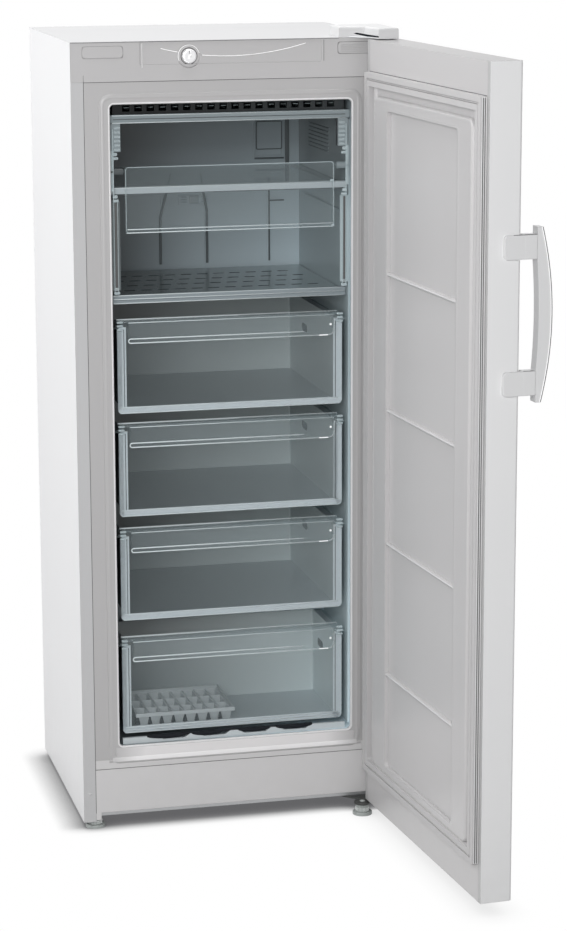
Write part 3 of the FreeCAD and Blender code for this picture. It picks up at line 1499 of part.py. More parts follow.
def cord_gland():
    """A bush for the cord, snapped through the base frame near its rear edge."""
    length = base_sheet + gland_length
    body = Part.makeCylinder(gland_radius, length, V(gland_x, gland_y, base_z))
    flange = Part.makeCylinder(gland_radius + gland_flange, gland_flange_height,
                               V(gland_x, gland_y, base_top_z))
    bore = Part.makeCylinder(gland_bore_radius, length + 2, V(gland_x, gland_y, base_z - 1))
    return join([body, flange]).cut(bore)


def drip_pan():
    z0 = compressor_top_z() + running_gap
    x0, y0 = compressor_x - pan_length / 2 + pan_shift_x, compressor_y - pan_width / 2 + pan_shift_y
    outer = box(x0, x0 + pan_length, y0, y0 + pan_width, z0, z0 + pan_height)
    outer = round_edges(outer, 8.0, lambda m, way: near(abs(way.z), 1))
    inner = box(x0 + pan_wall, x0 + pan_length - pan_wall, y0 + pan_wall, y0 + pan_width - pan_wall,
                z0 + pan_wall, z0 + pan_height + 1)
    inner = round_edges(inner, 6.0, lambda m, way: near(abs(way.z), 1))
    return outer.cut(inner)


def refrigerant_pipes():
    """Discharge and suction pipes, and the filter drier on the way to the condenser."""
    suction_z = compressor_bottom_z() + suction_rise
    discharge_z = suction_z + discharge_rise
    pot_x = compressor_x + compressor_radius + running_gap
    discharge_x, suction_x = pot_x + discharge_reach, pot_x + suction_reach
    suction_y = compressor_y - suction_shift
    discharge = bent_pipe(pipe_radius, [(pot_x, compressor_y, discharge_z),
                                        (discharge_x, compressor_y, discharge_z),
                                        (discharge_x, condenser_y, discharge_z),
                                        (discharge_x, condenser_y, discharge_z + discharge_end_rise)],
                          pipe_bend)
    suction = bent_pipe(pipe_radius, [(pot_x, suction_y, suction_z), (suction_x, suction_y, suction_z),
                                      (suction_x, suction_y, bay_top_z - running_gap)], pipe_bend)
    drier_x = -condenser_half_width + condenser_pitch / 2
    drier_top = condenser_bottom_z - drier_neck
    drier = rod(drier_radius, (drier_x, condenser_y, drier_top - drier_length),
                (drier_x, condenser_y, drier_top))
    neck = rod(pipe_radius, (drier_x, condenser_y, drier_top),
               (drier_x, condenser_y, condenser_bottom_z - condenser_tube_radius - running_gap))
    return group([discharge, suction, join([drier, neck])])


# ---------------------------------------------------------------- condenser
def condenser_tube():
    return serpentine(condenser_tube_radius, condenser_half_width, condenser_y, condenser_bottom_z,
                      condenser_rows, condenser_pitch)


def wire_span():
    return condenser_half_width - condenser_pitch / 2 - wire_margin


def condenser_wires():
    wires = []
    span = wire_span()
    offset = condenser_tube_radius + wire_radius
    for index in range(wire_count):
        x = -span + 2 * span * index / (wire_count - 1)
        y = condenser_y + (offset if index % 2 else -offset)
        wires.append(rod(wire_radius, (x, y, condenser_bottom_z - wire_overhang),
                         (x, y, condenser_top_z + wire_overhang)))
    return wires


def condenser():
    """One tube with wires along both of its faces."""
    return group([condenser_tube()] + condenser_wires())


def condenser_clips():
    """Blocks on the back sheet that clip round the condenser's top and bottom runs."""
    clips = []
    back_y = cabinet_depth - skin
    wire_pitch = 2 * wire_span() / (wire_count - 1)
    reach = standoff_width / 2
    for side in (-1, 1):
        x = side * (wire_count // 4) * wire_pitch
        for row in (1, condenser_rows - 2):
            z = condenser_bottom_z + row * condenser_pitch
            post = box(x - reach, x + reach, back_y, condenser_y + standoff_reach, z - standoff_height / 2,
                       z + standoff_height / 2)
            groove = rod(condenser_tube_radius + running_gap, (x - 2 * reach, condenser_y, z),
                         (x + 2 * reach, condenser_y, z))
            clips.append(post.cut(groove))
    return clips


def rubber_mounts():
    """The compressor's grommets and the condenser's clips."""
    return group(compressor_mounts() + condenser_clips())


# ---------------------------------------------------------------- the whole freezer
def all_nodes():
    nodes = {
        "left_side_panel": side_panel(),
        "right_side_panel": right_side_panel(),
        "top_panel": top_panel(),
        "back_panel": back_panel(),
        "inner_liner": inner_liner(),
        "foam_insulation": foam_insulation(),
        "bay_panel": bay_panel(),
        "kick_plate": kick_plate(),
        "base_frame": base_frame(),
        "left_front_foot": levelling_foot(left_foot_x, left_foot_y, side_bottom_z, base_top_z + stud_reach),
        "right_front_foot": levelling_foot(right_foot_x, right_foot_y, base_z - 5.0, base_z + 1.0),
        "left_rear_roller": roller(-1),
        "right_rear_roller": roller(1),
        "top_hinge": top_hinge(),
        "top_hinge_cover": top_hinge_cover(),
        "bottom_hinge": bottom_hinge(),
        "cabinet_fasteners": cabinet_fasteners(),
        "control_fascia": control_fascia(),
        "fascia_caps": fascia_caps(),
        "thermostat_body": thermostat_body(),
        "thermostat_knob": thermostat_knob(),
        "left_runner_frame": runner_frame(),
        "right_runner_frame": mirrored(runner_frame()),
        "glass_shelf": glass_shelf(),
        "glass_shelf_trim": glass_shelf_trim(),
        "perforated_shelf": perforated_shelf(),
        "clear_flap": clear_flap(),
        "floor_strip": floor_strip(),
        "top_air_duct": top_air_duct(),
        "evaporator_cover": evaporator_cover(),
        "evaporator": evaporator(),
        "defrost_heater": defrost_heater(),
        "fan_motor": fan_motor(),
        "fan_blade": fan_blade(),
        "drain_pipe": drain_pipe(),
        "ice_tray": ice_tray(drawer_table[-1][1] + tub_foot + tub_wall),
        "compressor": compressor(),
        "rubber_mounts": rubber_mounts(),
        "terminal_box": terminal_box(),
        "cord_gland": cord_gland(),
        "drip_pan": drip_pan(),
        "refrigerant_pipes": refrigerant_pipes(),
        "condenser": condenser(),
    }
    for name, low, high, back, hole_back in drawer_table:
        nodes[name + "_drawer_tub"] = drawer_tub(low, high, back, hole_back)
        nodes[name + "_drawer_front"] = drawer_front(low, high)
    for piece in (door_skin, door_foam, door_liner, door_caps, door_bushes, door_gasket, handle_grip,
                  handle_brackets, handle_screws):
        nodes[piece.__name__] = swing(piece())
    return nodes


def main():
    os.makedirs("parts", exist_ok=True)
    for name, shape in all_nodes().items():
        placed = shape.copy()
        placed.translate(foot_shift)
        placed.exportStep("parts/" + name + ".step")
        print(name, "solids", len(placed.Solids), "valid", placed.isValid(), "volume", round(placed.Volume))


main()
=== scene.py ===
# %% [markdown]
# An upright freezer, standing with its door open. The construction is loaded as a fixed frame, and this
# lesson dresses it: soft edges, moulded details, clear drawers, and finishes made of nodes. Each step first
# says what the piece is on the real freezer, then how it is made here, and why.

# %% Load the frame
import bmesh
import bpy
import json
import math
from mathutils import Matrix, Vector


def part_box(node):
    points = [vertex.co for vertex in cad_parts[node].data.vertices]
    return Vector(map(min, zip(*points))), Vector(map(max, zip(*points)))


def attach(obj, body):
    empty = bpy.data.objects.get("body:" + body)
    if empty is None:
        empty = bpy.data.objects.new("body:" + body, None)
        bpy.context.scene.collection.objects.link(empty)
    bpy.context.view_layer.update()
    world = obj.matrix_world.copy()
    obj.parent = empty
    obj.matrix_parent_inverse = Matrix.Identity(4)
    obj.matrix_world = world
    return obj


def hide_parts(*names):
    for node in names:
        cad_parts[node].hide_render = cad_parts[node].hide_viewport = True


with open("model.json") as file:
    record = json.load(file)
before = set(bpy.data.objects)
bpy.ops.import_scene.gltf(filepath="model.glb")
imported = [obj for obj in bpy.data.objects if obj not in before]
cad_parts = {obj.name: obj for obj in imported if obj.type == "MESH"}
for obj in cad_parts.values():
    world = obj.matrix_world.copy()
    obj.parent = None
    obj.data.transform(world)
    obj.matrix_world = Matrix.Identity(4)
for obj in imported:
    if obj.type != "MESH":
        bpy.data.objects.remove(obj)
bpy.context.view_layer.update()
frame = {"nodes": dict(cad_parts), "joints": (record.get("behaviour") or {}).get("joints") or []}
nodes = frame["nodes"]
print("pieces in the frame:", len(nodes))

# %% [markdown]
# The camera stands where the photographer stood: to the left of the freezer, a little above its top, and far
# enough back that the upright edges stay nearly parallel. A long lens gives that calm perspective. The
# rotation is built from the viewing direction, so that each angle can be read as a number.

# %% Camera
camera_place = Vector((-0.8736, -5.1326, 1.8378))
camera_turn = math.radians(13.680)
camera_dip = math.radians(12.250)
camera_roll = math.radians(-0.183)
picture_height = 931
focal_pixels = 2830.7
film = 36.0

forward = Vector((math.sin(camera_turn) * math.cos(camera_dip),
                  math.cos(camera_turn) * math.cos(camera_dip), -math.sin(camera_dip)))
level = Vector((math.cos(camera_turn), -math.sin(camera_turn), 0.0))
upright = level.cross(forward)
across = level * math.cos(camera_roll) + upright * math.sin(camera_roll)
above = upright * math.cos(camera_roll) - level * math.sin(camera_roll)
turned = Matrix((across, above, -forward)).transposed().to_4x4()

camera_data = bpy.data.cameras.new("camera")
camera_data.sensor_width = film
camera_data.lens = film * focal_pixels / picture_height
camera_data.clip_end = 50.0
camera = bpy.data.objects.new("camera", camera_data)
camera.matrix_world = Matrix.Translation(camera_place) @ turned
bpy.context.scene.collection.objects.link(camera)
bpy.context.scene.camera = camera
bpy.context.scene.view_settings.view_transform = "Standard"
print("lens in mm:", round(camera_data.lens, 1))

# %% [markdown]
# A white product picture needs a backdrop that is simply white. The world shows white to the camera, in
# reflections and through clear plastic, but it lights the freezer only as a dim grey sky, so that nothing is
# flooded. The lamps are soft boxes: one stands close to the left side, which is the brightest part of the real
# picture, one stands in front of the opening, and one hangs above.

# %% World and lamps
backdrop_colour = (1.0, 1.0, 1.0, 1.0)
sky_colour = (0.86, 0.87, 0.88, 1.0)
sky_strength = 0.26


def camera_sees(tree):
    """A value of 1 for rays from the camera, in a reflection or through clear plastic, and 0 for the rest."""
    path = tree.nodes.new("ShaderNodeLightPath")
    either = path.outputs["Is Camera Ray"]
    for label in ("Is Glossy Ray", "Is Transmission Ray"):
        larger = tree.nodes.new("ShaderNodeMath")
        larger.operation = "MAXIMUM"
        tree.links.new(either, larger.inputs[0])
        tree.links.new(path.outputs[label], larger.inputs[1])
        either = larger.outputs[0]
    return either


def make_world():
    world = bpy.data.worlds.new("studio")
    bpy.context.scene.world = world
    world.use_nodes = True
    tree = world.node_tree
    tree.nodes.clear()
    sky = tree.nodes.new("ShaderNodeBackground")
    sky.inputs["Color"].default_value = sky_colour
    sky.inputs["Strength"].default_value = sky_strength
    backdrop = tree.nodes.new("ShaderNodeBackground")
    backdrop.inputs["Color"].default_value = backdrop_colour
    mix = tree.nodes.new("ShaderNodeMixShader")
    output = tree.nodes.new("ShaderNodeOutputWorld")
    tree.links.new(camera_sees(tree), mix.inputs["Fac"])
    tree.links.new(sky.outputs[0], mix.inputs[1])
    tree.links.new(backdrop.outputs[0], mix.inputs[2])
    tree.links.new(mix.outputs[0], output.inputs["Surface"])


def soft_box(name, place, aim, size, power):
    """A square area lamp at place, turned towards aim and hidden from the camera."""
    data = bpy.data.lights.new(name, "AREA")
    data.size = size
    data.energy = power
    lamp = bpy.data.objects.new(name, data)
    lamp.location = place
    lamp.rotation_euler = (Vector(aim) - Vector(place)).to_track_quat("-Z", "Y").to_euler()
    lamp.visible_camera = False
    bpy.context.scene.collection.objects.link(lamp)


make_world()
soft_box("left_soft_box", (-2.1, 0.35, 2.1), (0.0, 0.25, 1.0), 1.8, 43.0)
soft_box("front_soft_box", (-0.8, -3.2, 1.8), (0.3, 0.1, 0.7), 1.6, 67.0)
soft_box("top_soft_box", (0.3, 0.2, 3.6), (0.275, 0.2, 0.0), 2.0, 46.0)
print("lamps:", [lamp.name for lamp in bpy.data.lights])

# %% [markdown]
# The finishes come next. Several of them share an effect: moulded plastic and painted sheet both have a fine
# skin that breaks up a highlight, and everything near the floor collects dust. Each shared effect is one node
# group with named sockets, built once and placed in every material that needs it with its own values.

# %% Node groups for shared effects


def new_group(name, inputs, outputs):
    """An empty node group with the given float inputs and outputs, ready to be wired."""
    group = bpy.data.node_groups.new(name, "ShaderNodeTree")
    for label, value in inputs:
        socket = group.interface.new_socket(name=label, in_out="INPUT", socket_type="NodeSocketFloat")
        socket.default_value = value
    for label in outputs:
        group.interface.new_socket(name=label, in_out="OUTPUT", socket_type="NodeSocketFloat")
    start = group.nodes.new("NodeGroupInput")
    end = group.nodes.new("NodeGroupOutput")
    return group, start, end


def math_node(tree, operation, first, second, clamp=False):
    """A Math node; each operand is a number or an output socket."""
    node = tree.nodes.new("ShaderNodeMath")
    node.operation = operation
    node.use_clamp = clamp
    for socket, value in zip(node.inputs, (first, second)):
        if isinstance(value, bpy.types.NodeSocket):
            tree.links.new(value, socket)
        else:
            socket.default_value = value
    return node.outputs[0]


def noise(tree, vector, scale, detail=3.0):
    node = tree.nodes.new("ShaderNodeTexNoise")
    node.inputs["Detail"].default_value = detail
    tree.links.new(vector, node.inputs["Vector"])
    if isinstance(scale, bpy.types.NodeSocket):
        tree.links.new(scale, node.inputs["Scale"])
    else:
        node.inputs["Scale"].default_value = scale
    return node.outputs["Fac"]


def skin_group():
    """Fine skin: a height for bump, a roughness that wanders, and a slow shade."""
    inputs = [("Scale", 900.0), ("Roughness", 0.4), ("Wander", 0.06)]
    group, start, end = new_group("fine_skin", inputs, ["Height", "Roughness", "Shade"])
    place = group.nodes.new("ShaderNodeTexCoord").outputs["Object"]
    height = noise(group, place, start.outputs["Scale"], 2.0)
    slow = noise(group, place, 5.0)
    sway = math_node(group, "SUBTRACT", slow, 0.5)
    wander = math_node(group, "MULTIPLY", sway, start.outputs["Wander"])
    group.links.new(height, end.inputs["Height"])
    group.links.new(math_node(group, "ADD", start.outputs["Roughness"], wander), end.inputs["Roughness"])
    group.links.new(slow, end.inputs["Shade"])
    return group


def dust_group():
    """A mask of dust that grows towards the floor and lies in patches."""
    group, start, end = new_group("floor_dust", [("Amount", 0.2), ("Reach", 0.25)], ["Mask"])
    place = group.nodes.new("ShaderNodeTexCoord").outputs["Object"]
    apart = group.nodes.new("ShaderNodeSeparateXYZ")
    group.links.new(place, apart.inputs[0])
    share = math_node(group, "DIVIDE", apart.outputs["Z"], start.outputs["Reach"])
    low = math_node(group, "SUBTRACT", 1.0, share, clamp=True)
    patches = math_node(group, "MULTIPLY", low, noise(group, place, 40.0, 4.0))
    mask = math_node(group, "MULTIPLY", patches, start.outputs["Amount"])
    group.links.new(mask, end.inputs["Mask"])
    return group


level_enough = 0.7
glass_shelf_height = 1.27
drawers_height = 0.9


def zone_group():
    """Masks over a piece, for painted shade inside the cabinet: Deep is 1 behind a plane across Y, Flat is
    1 on faces that look up, and Glow is painted light and shade that grows from the upper left of the
    interior, which gets little light, to the lower right, which gets most."""
    group, start, end = new_group("zones", [("Plane", 0.0), ("Blur", 0.002)], ["Deep", "Flat", "Glow"])
    place = group.nodes.new("ShaderNodeTexCoord").outputs["Object"]
    apart = group.nodes.new("ShaderNodeSeparateXYZ")
    group.links.new(place, apart.inputs[0])
    behind = math_node(group, "SUBTRACT", apart.outputs["Y"], start.outputs["Plane"])
    deep = math_node(group, "DIVIDE", behind, start.outputs["Blur"], clamp=True)
    normal = group.nodes.new("ShaderNodeNewGeometry").outputs["Normal"]
    facing = group.nodes.new("ShaderNodeSeparateXYZ")
    group.links.new(normal, facing.inputs[0])
    flat = math_node(group, "GREATER_THAN", facing.outputs["Z"], level_enough)
    rightward = math_node(group, "MULTIPLY", apart.outputs["X"], 2.7)
    across_share = math_node(group, "MAXIMUM", rightward, 0.35)
    drop = math_node(group, "SUBTRACT", glass_shelf_height, apart.outputs["Z"])
    lower = math_node(group, "MULTIPLY", drop, 10.0, clamp=True)
    sink = math_node(group, "SUBTRACT", drawers_height, apart.outputs["Z"])
    deepest = math_node(group, "MULTIPLY", sink, 1.2, clamp=True)
    down_share = math_node(group, "MULTIPLY_ADD", lower, 0.75)
    group.links.new(math_node(group, "ADD", deepest, 1.0), down_share.node.inputs[2])
    group.links.new(deep, end.inputs["Deep"])
    group.links.new(flat, end.inputs["Flat"])
    group.links.new(math_node(group, "MULTIPLY", across_share, down_share), end.inputs["Glow"])
    return group


fine_skin = skin_group()
floor_dust = dust_group()
zones = zone_group()
print("node groups:", [group.name for group in bpy.data.node_groups])

# %% [markdown]
# Each finish is a Principled shader in its own material. The helper places the fine skin, rounds the shading
# at sharp edges with a Bevel node, as paint and mould radii do, lets the base colour drift slightly over the
# surface, and adds a little dust low down. Where it is asked to, it also paints shade into the base colour: on
# faces that look one way, and inside the cabinet, where that painted shade lightens towards the lower right.
# Single numbers such as the coat go straight on the shader.

# %% Materials
materials = {}


def mixed(tree, factor, first, second):
    """A mix of two colours, each given as a colour or as a socket."""
    node = tree.nodes.new("ShaderNodeMix")
    node.data_type = "RGBA"
    tree.links.new(factor, node.inputs["Factor"])
    for label, value in (("A", first), ("B", second)):
        if isinstance(value, bpy.types.NodeSocket):
            tree.links.new(value, node.inputs[label])
        else:
            node.inputs[label].default_value = (*value, 1.0)
    return node.outputs["Result"]


def scaled(tree, colour, factor):
    """A colour times a socket."""
    node = tree.nodes.new("ShaderNodeVectorMath")
    node.operation = "SCALE"
    node.inputs[0].default_value = colour
    tree.links.new(factor, node.inputs["Scale"])
    return node.outputs[0]


def group_node(tree, group, **values):
    node = tree.nodes.new("ShaderNodeGroup")
    node.node_tree = group
    for label, value in values.items():
        node.inputs[label].default_value = value
    return node


def finish(name, colour, roughness, grain=900.0, relief=0.02, edge=0.0008, drift=0.02, dust=0.12,
           inner=None, floor=None, plane=0.0, facing=(), **sockets):
    """A moulded or painted finish. inner is a colour of painted shade behind a plane across Y, and floor one
    for the upward faces there; both are scaled by the painted light of the zones group. Each entry of facing
    gives an axis, a direction along it and a share: faces that look that way have their colour scaled by the
    share, which paints shade on one side of a material. sockets are further values of the Principled
    shader."""
    material = bpy.data.materials.new(name)
    material.use_nodes = True
    tree = material.node_tree
    shader = tree.nodes["Principled BSDF"]
    for label, value in sockets.items():
        shader.inputs[label.replace("_", " ")].default_value = value
    skin = group_node(tree, fine_skin, Scale=grain, Roughness=roughness)
    tree.links.new(skin.outputs["Roughness"], shader.inputs["Roughness"])
    rounding = tree.nodes.new("ShaderNodeBevel")
    rounding.samples = 4
    rounding.inputs["Radius"].default_value = edge
    bump = tree.nodes.new("ShaderNodeBump")
    bump.inputs["Strength"].default_value = relief
    bump.inputs["Distance"].default_value = 0.001
    tree.links.new(skin.outputs["Height"], bump.inputs["Height"])
    tree.links.new(rounding.outputs["Normal"], bump.inputs["Normal"])
    tree.links.new(bump.outputs["Normal"], shader.inputs["Normal"])
    darker = tuple(value * (1.0 - 2.0 * drift) for value in colour)
    base = mixed(tree, skin.outputs["Shade"], darker, colour)
    if inner:
        zone = group_node(tree, zones, Plane=plane)
        base = mixed(tree, zone.outputs["Deep"], base, scaled(tree, inner, zone.outputs["Glow"]))
        if floor:
            both = math_node(tree, "MULTIPLY", zone.outputs["Deep"], zone.outputs["Flat"])
            base = mixed(tree, both, base, scaled(tree, floor, zone.outputs["Glow"]))
    for axis, direction, share in facing:
        apart = tree.nodes.new("ShaderNodeSeparateXYZ")
        tree.links.new(tree.nodes.new("ShaderNodeTexCoord").outputs["Normal"], apart.inputs[0])
        towards = math_node(tree, "MULTIPLY", apart.outputs[axis], direction)
        chosen = math_node(tree, "GREATER_THAN", towards, level_enough)
        base = mixed(tree, chosen, base, tuple(value * share for value in colour))
    if dust:
        soil = group_node(tree, floor_dust, Amount=dust)
        base = mixed(tree, soil.outputs["Mask"], base, (0.30, 0.28, 0.25))
    tree.links.new(base, shader.inputs["Base Color"])
    materials[name] = material
    return material


fade_loss = 0.7


def clear_finish(name, colour, face_on, edge_on, roughness, fade=None):
    """Clear plastic: nearly invisible face on, and milky where it is seen along its surface. fade is the span
    of X over which a painted highlight on an edge grows faint towards the right, as it would under the left
    lamp."""
    material = finish(name, colour, roughness, 1200.0, 0.01, 0.0008, 0.0, 0.0)
    tree = material.node_tree
    facing = tree.nodes.new("ShaderNodeLayerWeight")
    facing.inputs["Blend"].default_value = 0.35
    span = math_node(tree, "MULTIPLY", facing.outputs["Facing"], edge_on - face_on)
    alpha = math_node(tree, "ADD", span, face_on)
    if fade:
        place = tree.nodes.new("ShaderNodeTexCoord").outputs["Object"]
        apart = tree.nodes.new("ShaderNodeSeparateXYZ")
        tree.links.new(place, apart.inputs[0])
        run = math_node(tree, "SUBTRACT", apart.outputs["X"], fade[0])
        share = math_node(tree, "DIVIDE", run, fade[1] - fade[0], clamp=True)
        loss = math_node(tree, "MULTIPLY", share, fade_loss)
        alpha = math_node(tree, "MULTIPLY", alpha, math_node(tree, "SUBTRACT", 1.0, loss))
    tree.links.new(alpha, tree.nodes["Principled BSDF"].inputs["Alpha"])
    return material


cabinet_middle = 0.275


def soften_ends(name, plain, half, length):
    """Let a finish run out along X into a plain colour, over the last stretch of a span that lies round the
    cabinet's middle; it fades painted highlights out at their ends. half is half the span and length the
    stretch, in metres."""
    tree = materials[name].node_tree
    base = tree.nodes["Principled BSDF"].inputs["Base Color"]
    apart = tree.nodes.new("ShaderNodeSeparateXYZ")
    tree.links.new(tree.nodes.new("ShaderNodeTexCoord").outputs["Object"], apart.inputs[0])
    offset = math_node(tree, "SUBTRACT", apart.outputs["X"], cabinet_middle)
    away = math_node(tree, "ABSOLUTE", offset, 0.0)
    left = math_node(tree, "SUBTRACT", half, away)
    share = math_node(tree, "DIVIDE", left, length, clamp=True)
    tree.links.new(mixed(tree, share, plain, base.links[0].from_socket), base)


# The wall colour is painted shade: it darkens the back wall and the liner inside the cabinet. The inner and
# floor colours of the runners, the duct, the shelf and the tubs below are painted shade as well.
wall_painted_shade = (0.205, 0.243, 0.262)
# The shares in facing paint shade: the sheets' fronts and tops, the door skin's faces that look towards -X, and
# the tops of the fascia and of the door caps are drawn darker than the rest of their material.
finish("white_sheet", (0.82, 0.82, 0.83), 0.36, 260.0, 0.04, 0.0015,
       facing=[("Y", -1.0, 0.66), ("Z", 1.0, 0.72)], Specular_IOR_Level=0.2)
finish("door_sheet", (0.82, 0.82, 0.825), 0.34, 260.0, 0.04, 0.0015, facing=[("X", -1.0, 0.56)],
       Specular_IOR_Level=0.3)
finish("cover_plastic", (0.66, 0.66, 0.665), 0.35, 1400.0, 0.03, 0.001)
finish("face_plastic", (0.53, 0.522, 0.526), 0.40, 1400.0, 0.04, 0.0015, facing=[("Z", 1.0, 0.7)],
       Specular_IOR_Level=0.25)
finish("kick_plastic", (0.645, 0.636, 0.64), 0.38, 1400.0, 0.04, 0.0015)
finish("liner_plastic", (0.47, 0.463, 0.466), 0.36, 1400.0, 0.03, 0.0015, inner=wall_painted_shade, plane=-0.015)
# Lighter copies of the pale plastics, for painted highlight: on the opening's lip, the fascia field's left edge
# and the gasket's crests, and on the sill's slope and crown, whose painted highlight fades out at both ends.
finish("plastic_painted_highlight", (0.80, 0.795, 0.80), 0.3, 1400.0, 0.03, 0.0015)
finish("sill_slope", (0.79, 0.775, 0.78), 0.4, 1400.0, 0.03, 0.0015)
soften_ends("sill_slope", (0.50, 0.493, 0.496), 0.238, 0.06)
finish("sill_ridge_painted_highlight", (0.92, 0.91, 0.915), 0.4, 1400.0, 0.03, 0.0015)
soften_ends("sill_ridge_painted_highlight", (0.56, 0.552, 0.556), 0.245, 0.05)
finish("door_plastic", (0.545, 0.536, 0.54), 0.34, 1400.0, 0.02, 0.002)
finish("cap_plastic", (0.56, 0.551, 0.555), 0.34, 1400.0, 0.02, 0.002, facing=[("Z", 1.0, 0.75)],
       Specular_IOR_Level=0.25)
# A lighter copy of the door plastic: painted highlight on the crowns of the ribs.
finish("rib_crown_painted_highlight", (0.68, 0.675, 0.68), 0.3, 1400.0, 0.02, 0.002)
finish("handle_plastic", (0.73, 0.73, 0.735), 0.28, 1400.0, 0.02, 0.002)
finish("gasket_rubber", (0.52, 0.512, 0.516), 0.55, 2000.0, 0.05)
# Dark painted shade, for the gasket's folds, the grip's edge, a line on the bracket and the top edge's shadow.
finish("dark_painted_shade", (0.14, 0.14, 0.145), 0.6, 2000.0, 0.05)
finish("seam_shadow", (0.10, 0.10, 0.10), 0.8, 2000.0, 0.05)
finish("seam_soft", (0.34, 0.335, 0.34), 0.7, 2000.0, 0.05)
# Near black painted shade, for holes, gaps, inlets and the wedge beside the hinge cover.
finish("painted_hollow_shade", (0.012, 0.014, 0.018), 0.7, 2000.0, 0.03, dust=0.0, Specular_IOR_Level=0.15)
finish("back_wall", wall_painted_shade, 0.35, 1200.0, 0.03, 0.001, inner=wall_painted_shade, plane=0.0)
finish("runner_plastic", (0.18, 0.21, 0.225), 0.25, 1200.0, 0.03, 0.001, inner=(0.16, 0.19, 0.20), plane=-0.5)
finish("duct_shade", (0.085, 0.102, 0.108), 0.5, 1200.0, 0.03, 0.001)
finish("rail_plastic", (0.26, 0.30, 0.315), 0.2, 1200.0, 0.03, 0.0015, inner=(0.024, 0.028, 0.030),
       plane=-0.0005, Specular_IOR_Level=0.2)
finish("shelf_plastic", (0.24, 0.28, 0.30), 0.2, 1200.0, 0.03, 0.001, inner=(0.03, 0.035, 0.04),
       floor=(0.185, 0.22, 0.228), plane=0.014)
finish("trim_plastic", (0.44, 0.495, 0.52), 0.25, 1200.0, 0.03, 0.001)
# The floor strip's own pale colour, which the tray's rims also carry as a painted highlight.
finish("strip_plastic_and_rim_highlight", (0.56, 0.61, 0.63), 0.3, 1200.0, 0.03, 0.001)
finish("tub_plastic", (0.58, 0.64, 0.67), 0.30, 1200.0, 0.02, 0.001, 0.02, 0.0, (0.184, 0.208, 0.212),
       (0.146, 0.166, 0.175), 0.0075)
finish("tray_plastic", (0.42, 0.46, 0.475), 0.35, 1200.0, 0.03, 0.0006, dust=0.0)
# A little glow: painted highlight on the fascia's beads, the grip's line and the drawers' glints.
finish("painted_highlight", (0.97, 0.97, 0.97), 0.15, 1200.0, 0.0, Emission_Color=(1.0, 1.0, 1.0, 1.0),
       Emission_Strength=0.22)
finish("plated_steel", (0.55, 0.56, 0.57), 0.38, 700.0, 0.08, Metallic=1.0)
# Near black, painted shade on the bottom hinge, which stands in the shadow under the cabinet.
finish("hinge_steel_painted_shade", (0.045, 0.048, 0.048), 0.45, 700.0, 0.08, Metallic=0.6)
finish("back_sheet", (0.42, 0.43, 0.44), 0.42, 300.0, 0.10, 0.001, 0.05, Metallic=0.7)
finish("foot_plastic", (0.40, 0.43, 0.42), 0.4, 1500.0, 0.08)
# Pale, a painted highlight on the grips of the feet's collars.
finish("grip_painted_highlight", (0.85, 0.88, 0.87), 0.25, 1500.0, 0.05)
finish("dark_plastic", (0.10, 0.105, 0.105), 0.5, 1500.0, 0.08)
finish("knob_silver", (0.80, 0.80, 0.81), 0.3, 900.0, 0.01, 0.0004, 0.02, 0.0, Metallic=0.5)
finish("black_enamel", (0.02, 0.02, 0.022), 0.32, 800.0, 0.06, Coat_Weight=0.3)
finish("mount_rubber", (0.03, 0.03, 0.03), 0.7, 1800.0, 0.1)
finish("coil_aluminium", (0.75, 0.76, 0.77), 0.35, 900.0, 0.05, Metallic=1.0)
finish("pipe_copper", (0.80, 0.42, 0.28), 0.3, 900.0, 0.04, Metallic=1.0)
finish("foam_filling", (0.72, 0.62, 0.38), 0.9, 500.0, 0.3)
clear_finish("clear_plastic", (0.52, 0.62, 0.65), 0.05, 0.45, 0.06)
clear_finish("shelf_glass", (0.42, 0.52, 0.54), 0.22, 0.6, 0.05)
# Pale clear plastic for clips and strips, and painted highlight on the louvres and on the flap's edges.
clear_finish("clear_edge_and_highlight", (0.74, 0.85, 0.88), 0.35, 0.85, 0.12)
# Painted highlight on clear edges and rails, fading towards the right as it would under the left lamp.
clear_finish("fading_painted_highlight", (0.85, 0.93, 0.95), 0.7, 1.0, 0.12, (0.10, 0.42))
print("materials:", len(materials))

# %% [markdown]
# Every piece of the frame now gets its finish by name. The shapes stay as they are.

# %% Finishes on the pieces of the frame
finish_of = {
    "white_sheet": "left_side_panel right_side_panel top_panel",
    "cover_plastic": "top_hinge_cover",
    "door_sheet": "door_skin",
    "face_plastic": "control_fascia fascia_caps",
    "kick_plastic": "kick_plate",
    "door_plastic": "door_liner",
    "cap_plastic": "door_caps",
    "handle_plastic": "handle_grip handle_brackets",
    "gasket_rubber": "door_gasket",
    "foam_filling": "foam_insulation door_foam",
    "back_wall": "evaporator_cover",
    "runner_plastic": "left_runner_frame right_runner_frame",
    "strip_plastic_and_rim_highlight": "floor_strip",
    "rail_plastic": "top_air_duct",
    "shelf_plastic": "perforated_shelf",
    "trim_plastic": "glass_shelf_trim",
    "shelf_glass": "glass_shelf",
    "clear_plastic": "clear_flap",
    "tray_plastic": "ice_tray",
    "back_sheet": "bay_panel back_panel base_frame",
    "plated_steel": "top_hinge cabinet_fasteners handle_screws defrost_heater",
    "hinge_steel_painted_shade": "bottom_hinge",
    "dark_plastic": "left_rear_roller right_rear_roller terminal_box fan_blade fan_motor thermostat_body",
    "foot_plastic": "left_front_foot right_front_foot drip_pan cord_gland door_bushes drain_pipe",
    "knob_silver": "thermostat_knob",
    "black_enamel": "compressor condenser",
    "mount_rubber": "rubber_mounts",
    "coil_aluminium": "evaporator",
    "pipe_copper": "refrigerant_pipes",
    "liner_plastic": "inner_liner",
    "tub_plastic": "",
}
drawers = ("upper", "middle", "lower", "bottom")
finish_of["clear_plastic"] += "".join(f" {drawer}_drawer_front" for drawer in drawers)
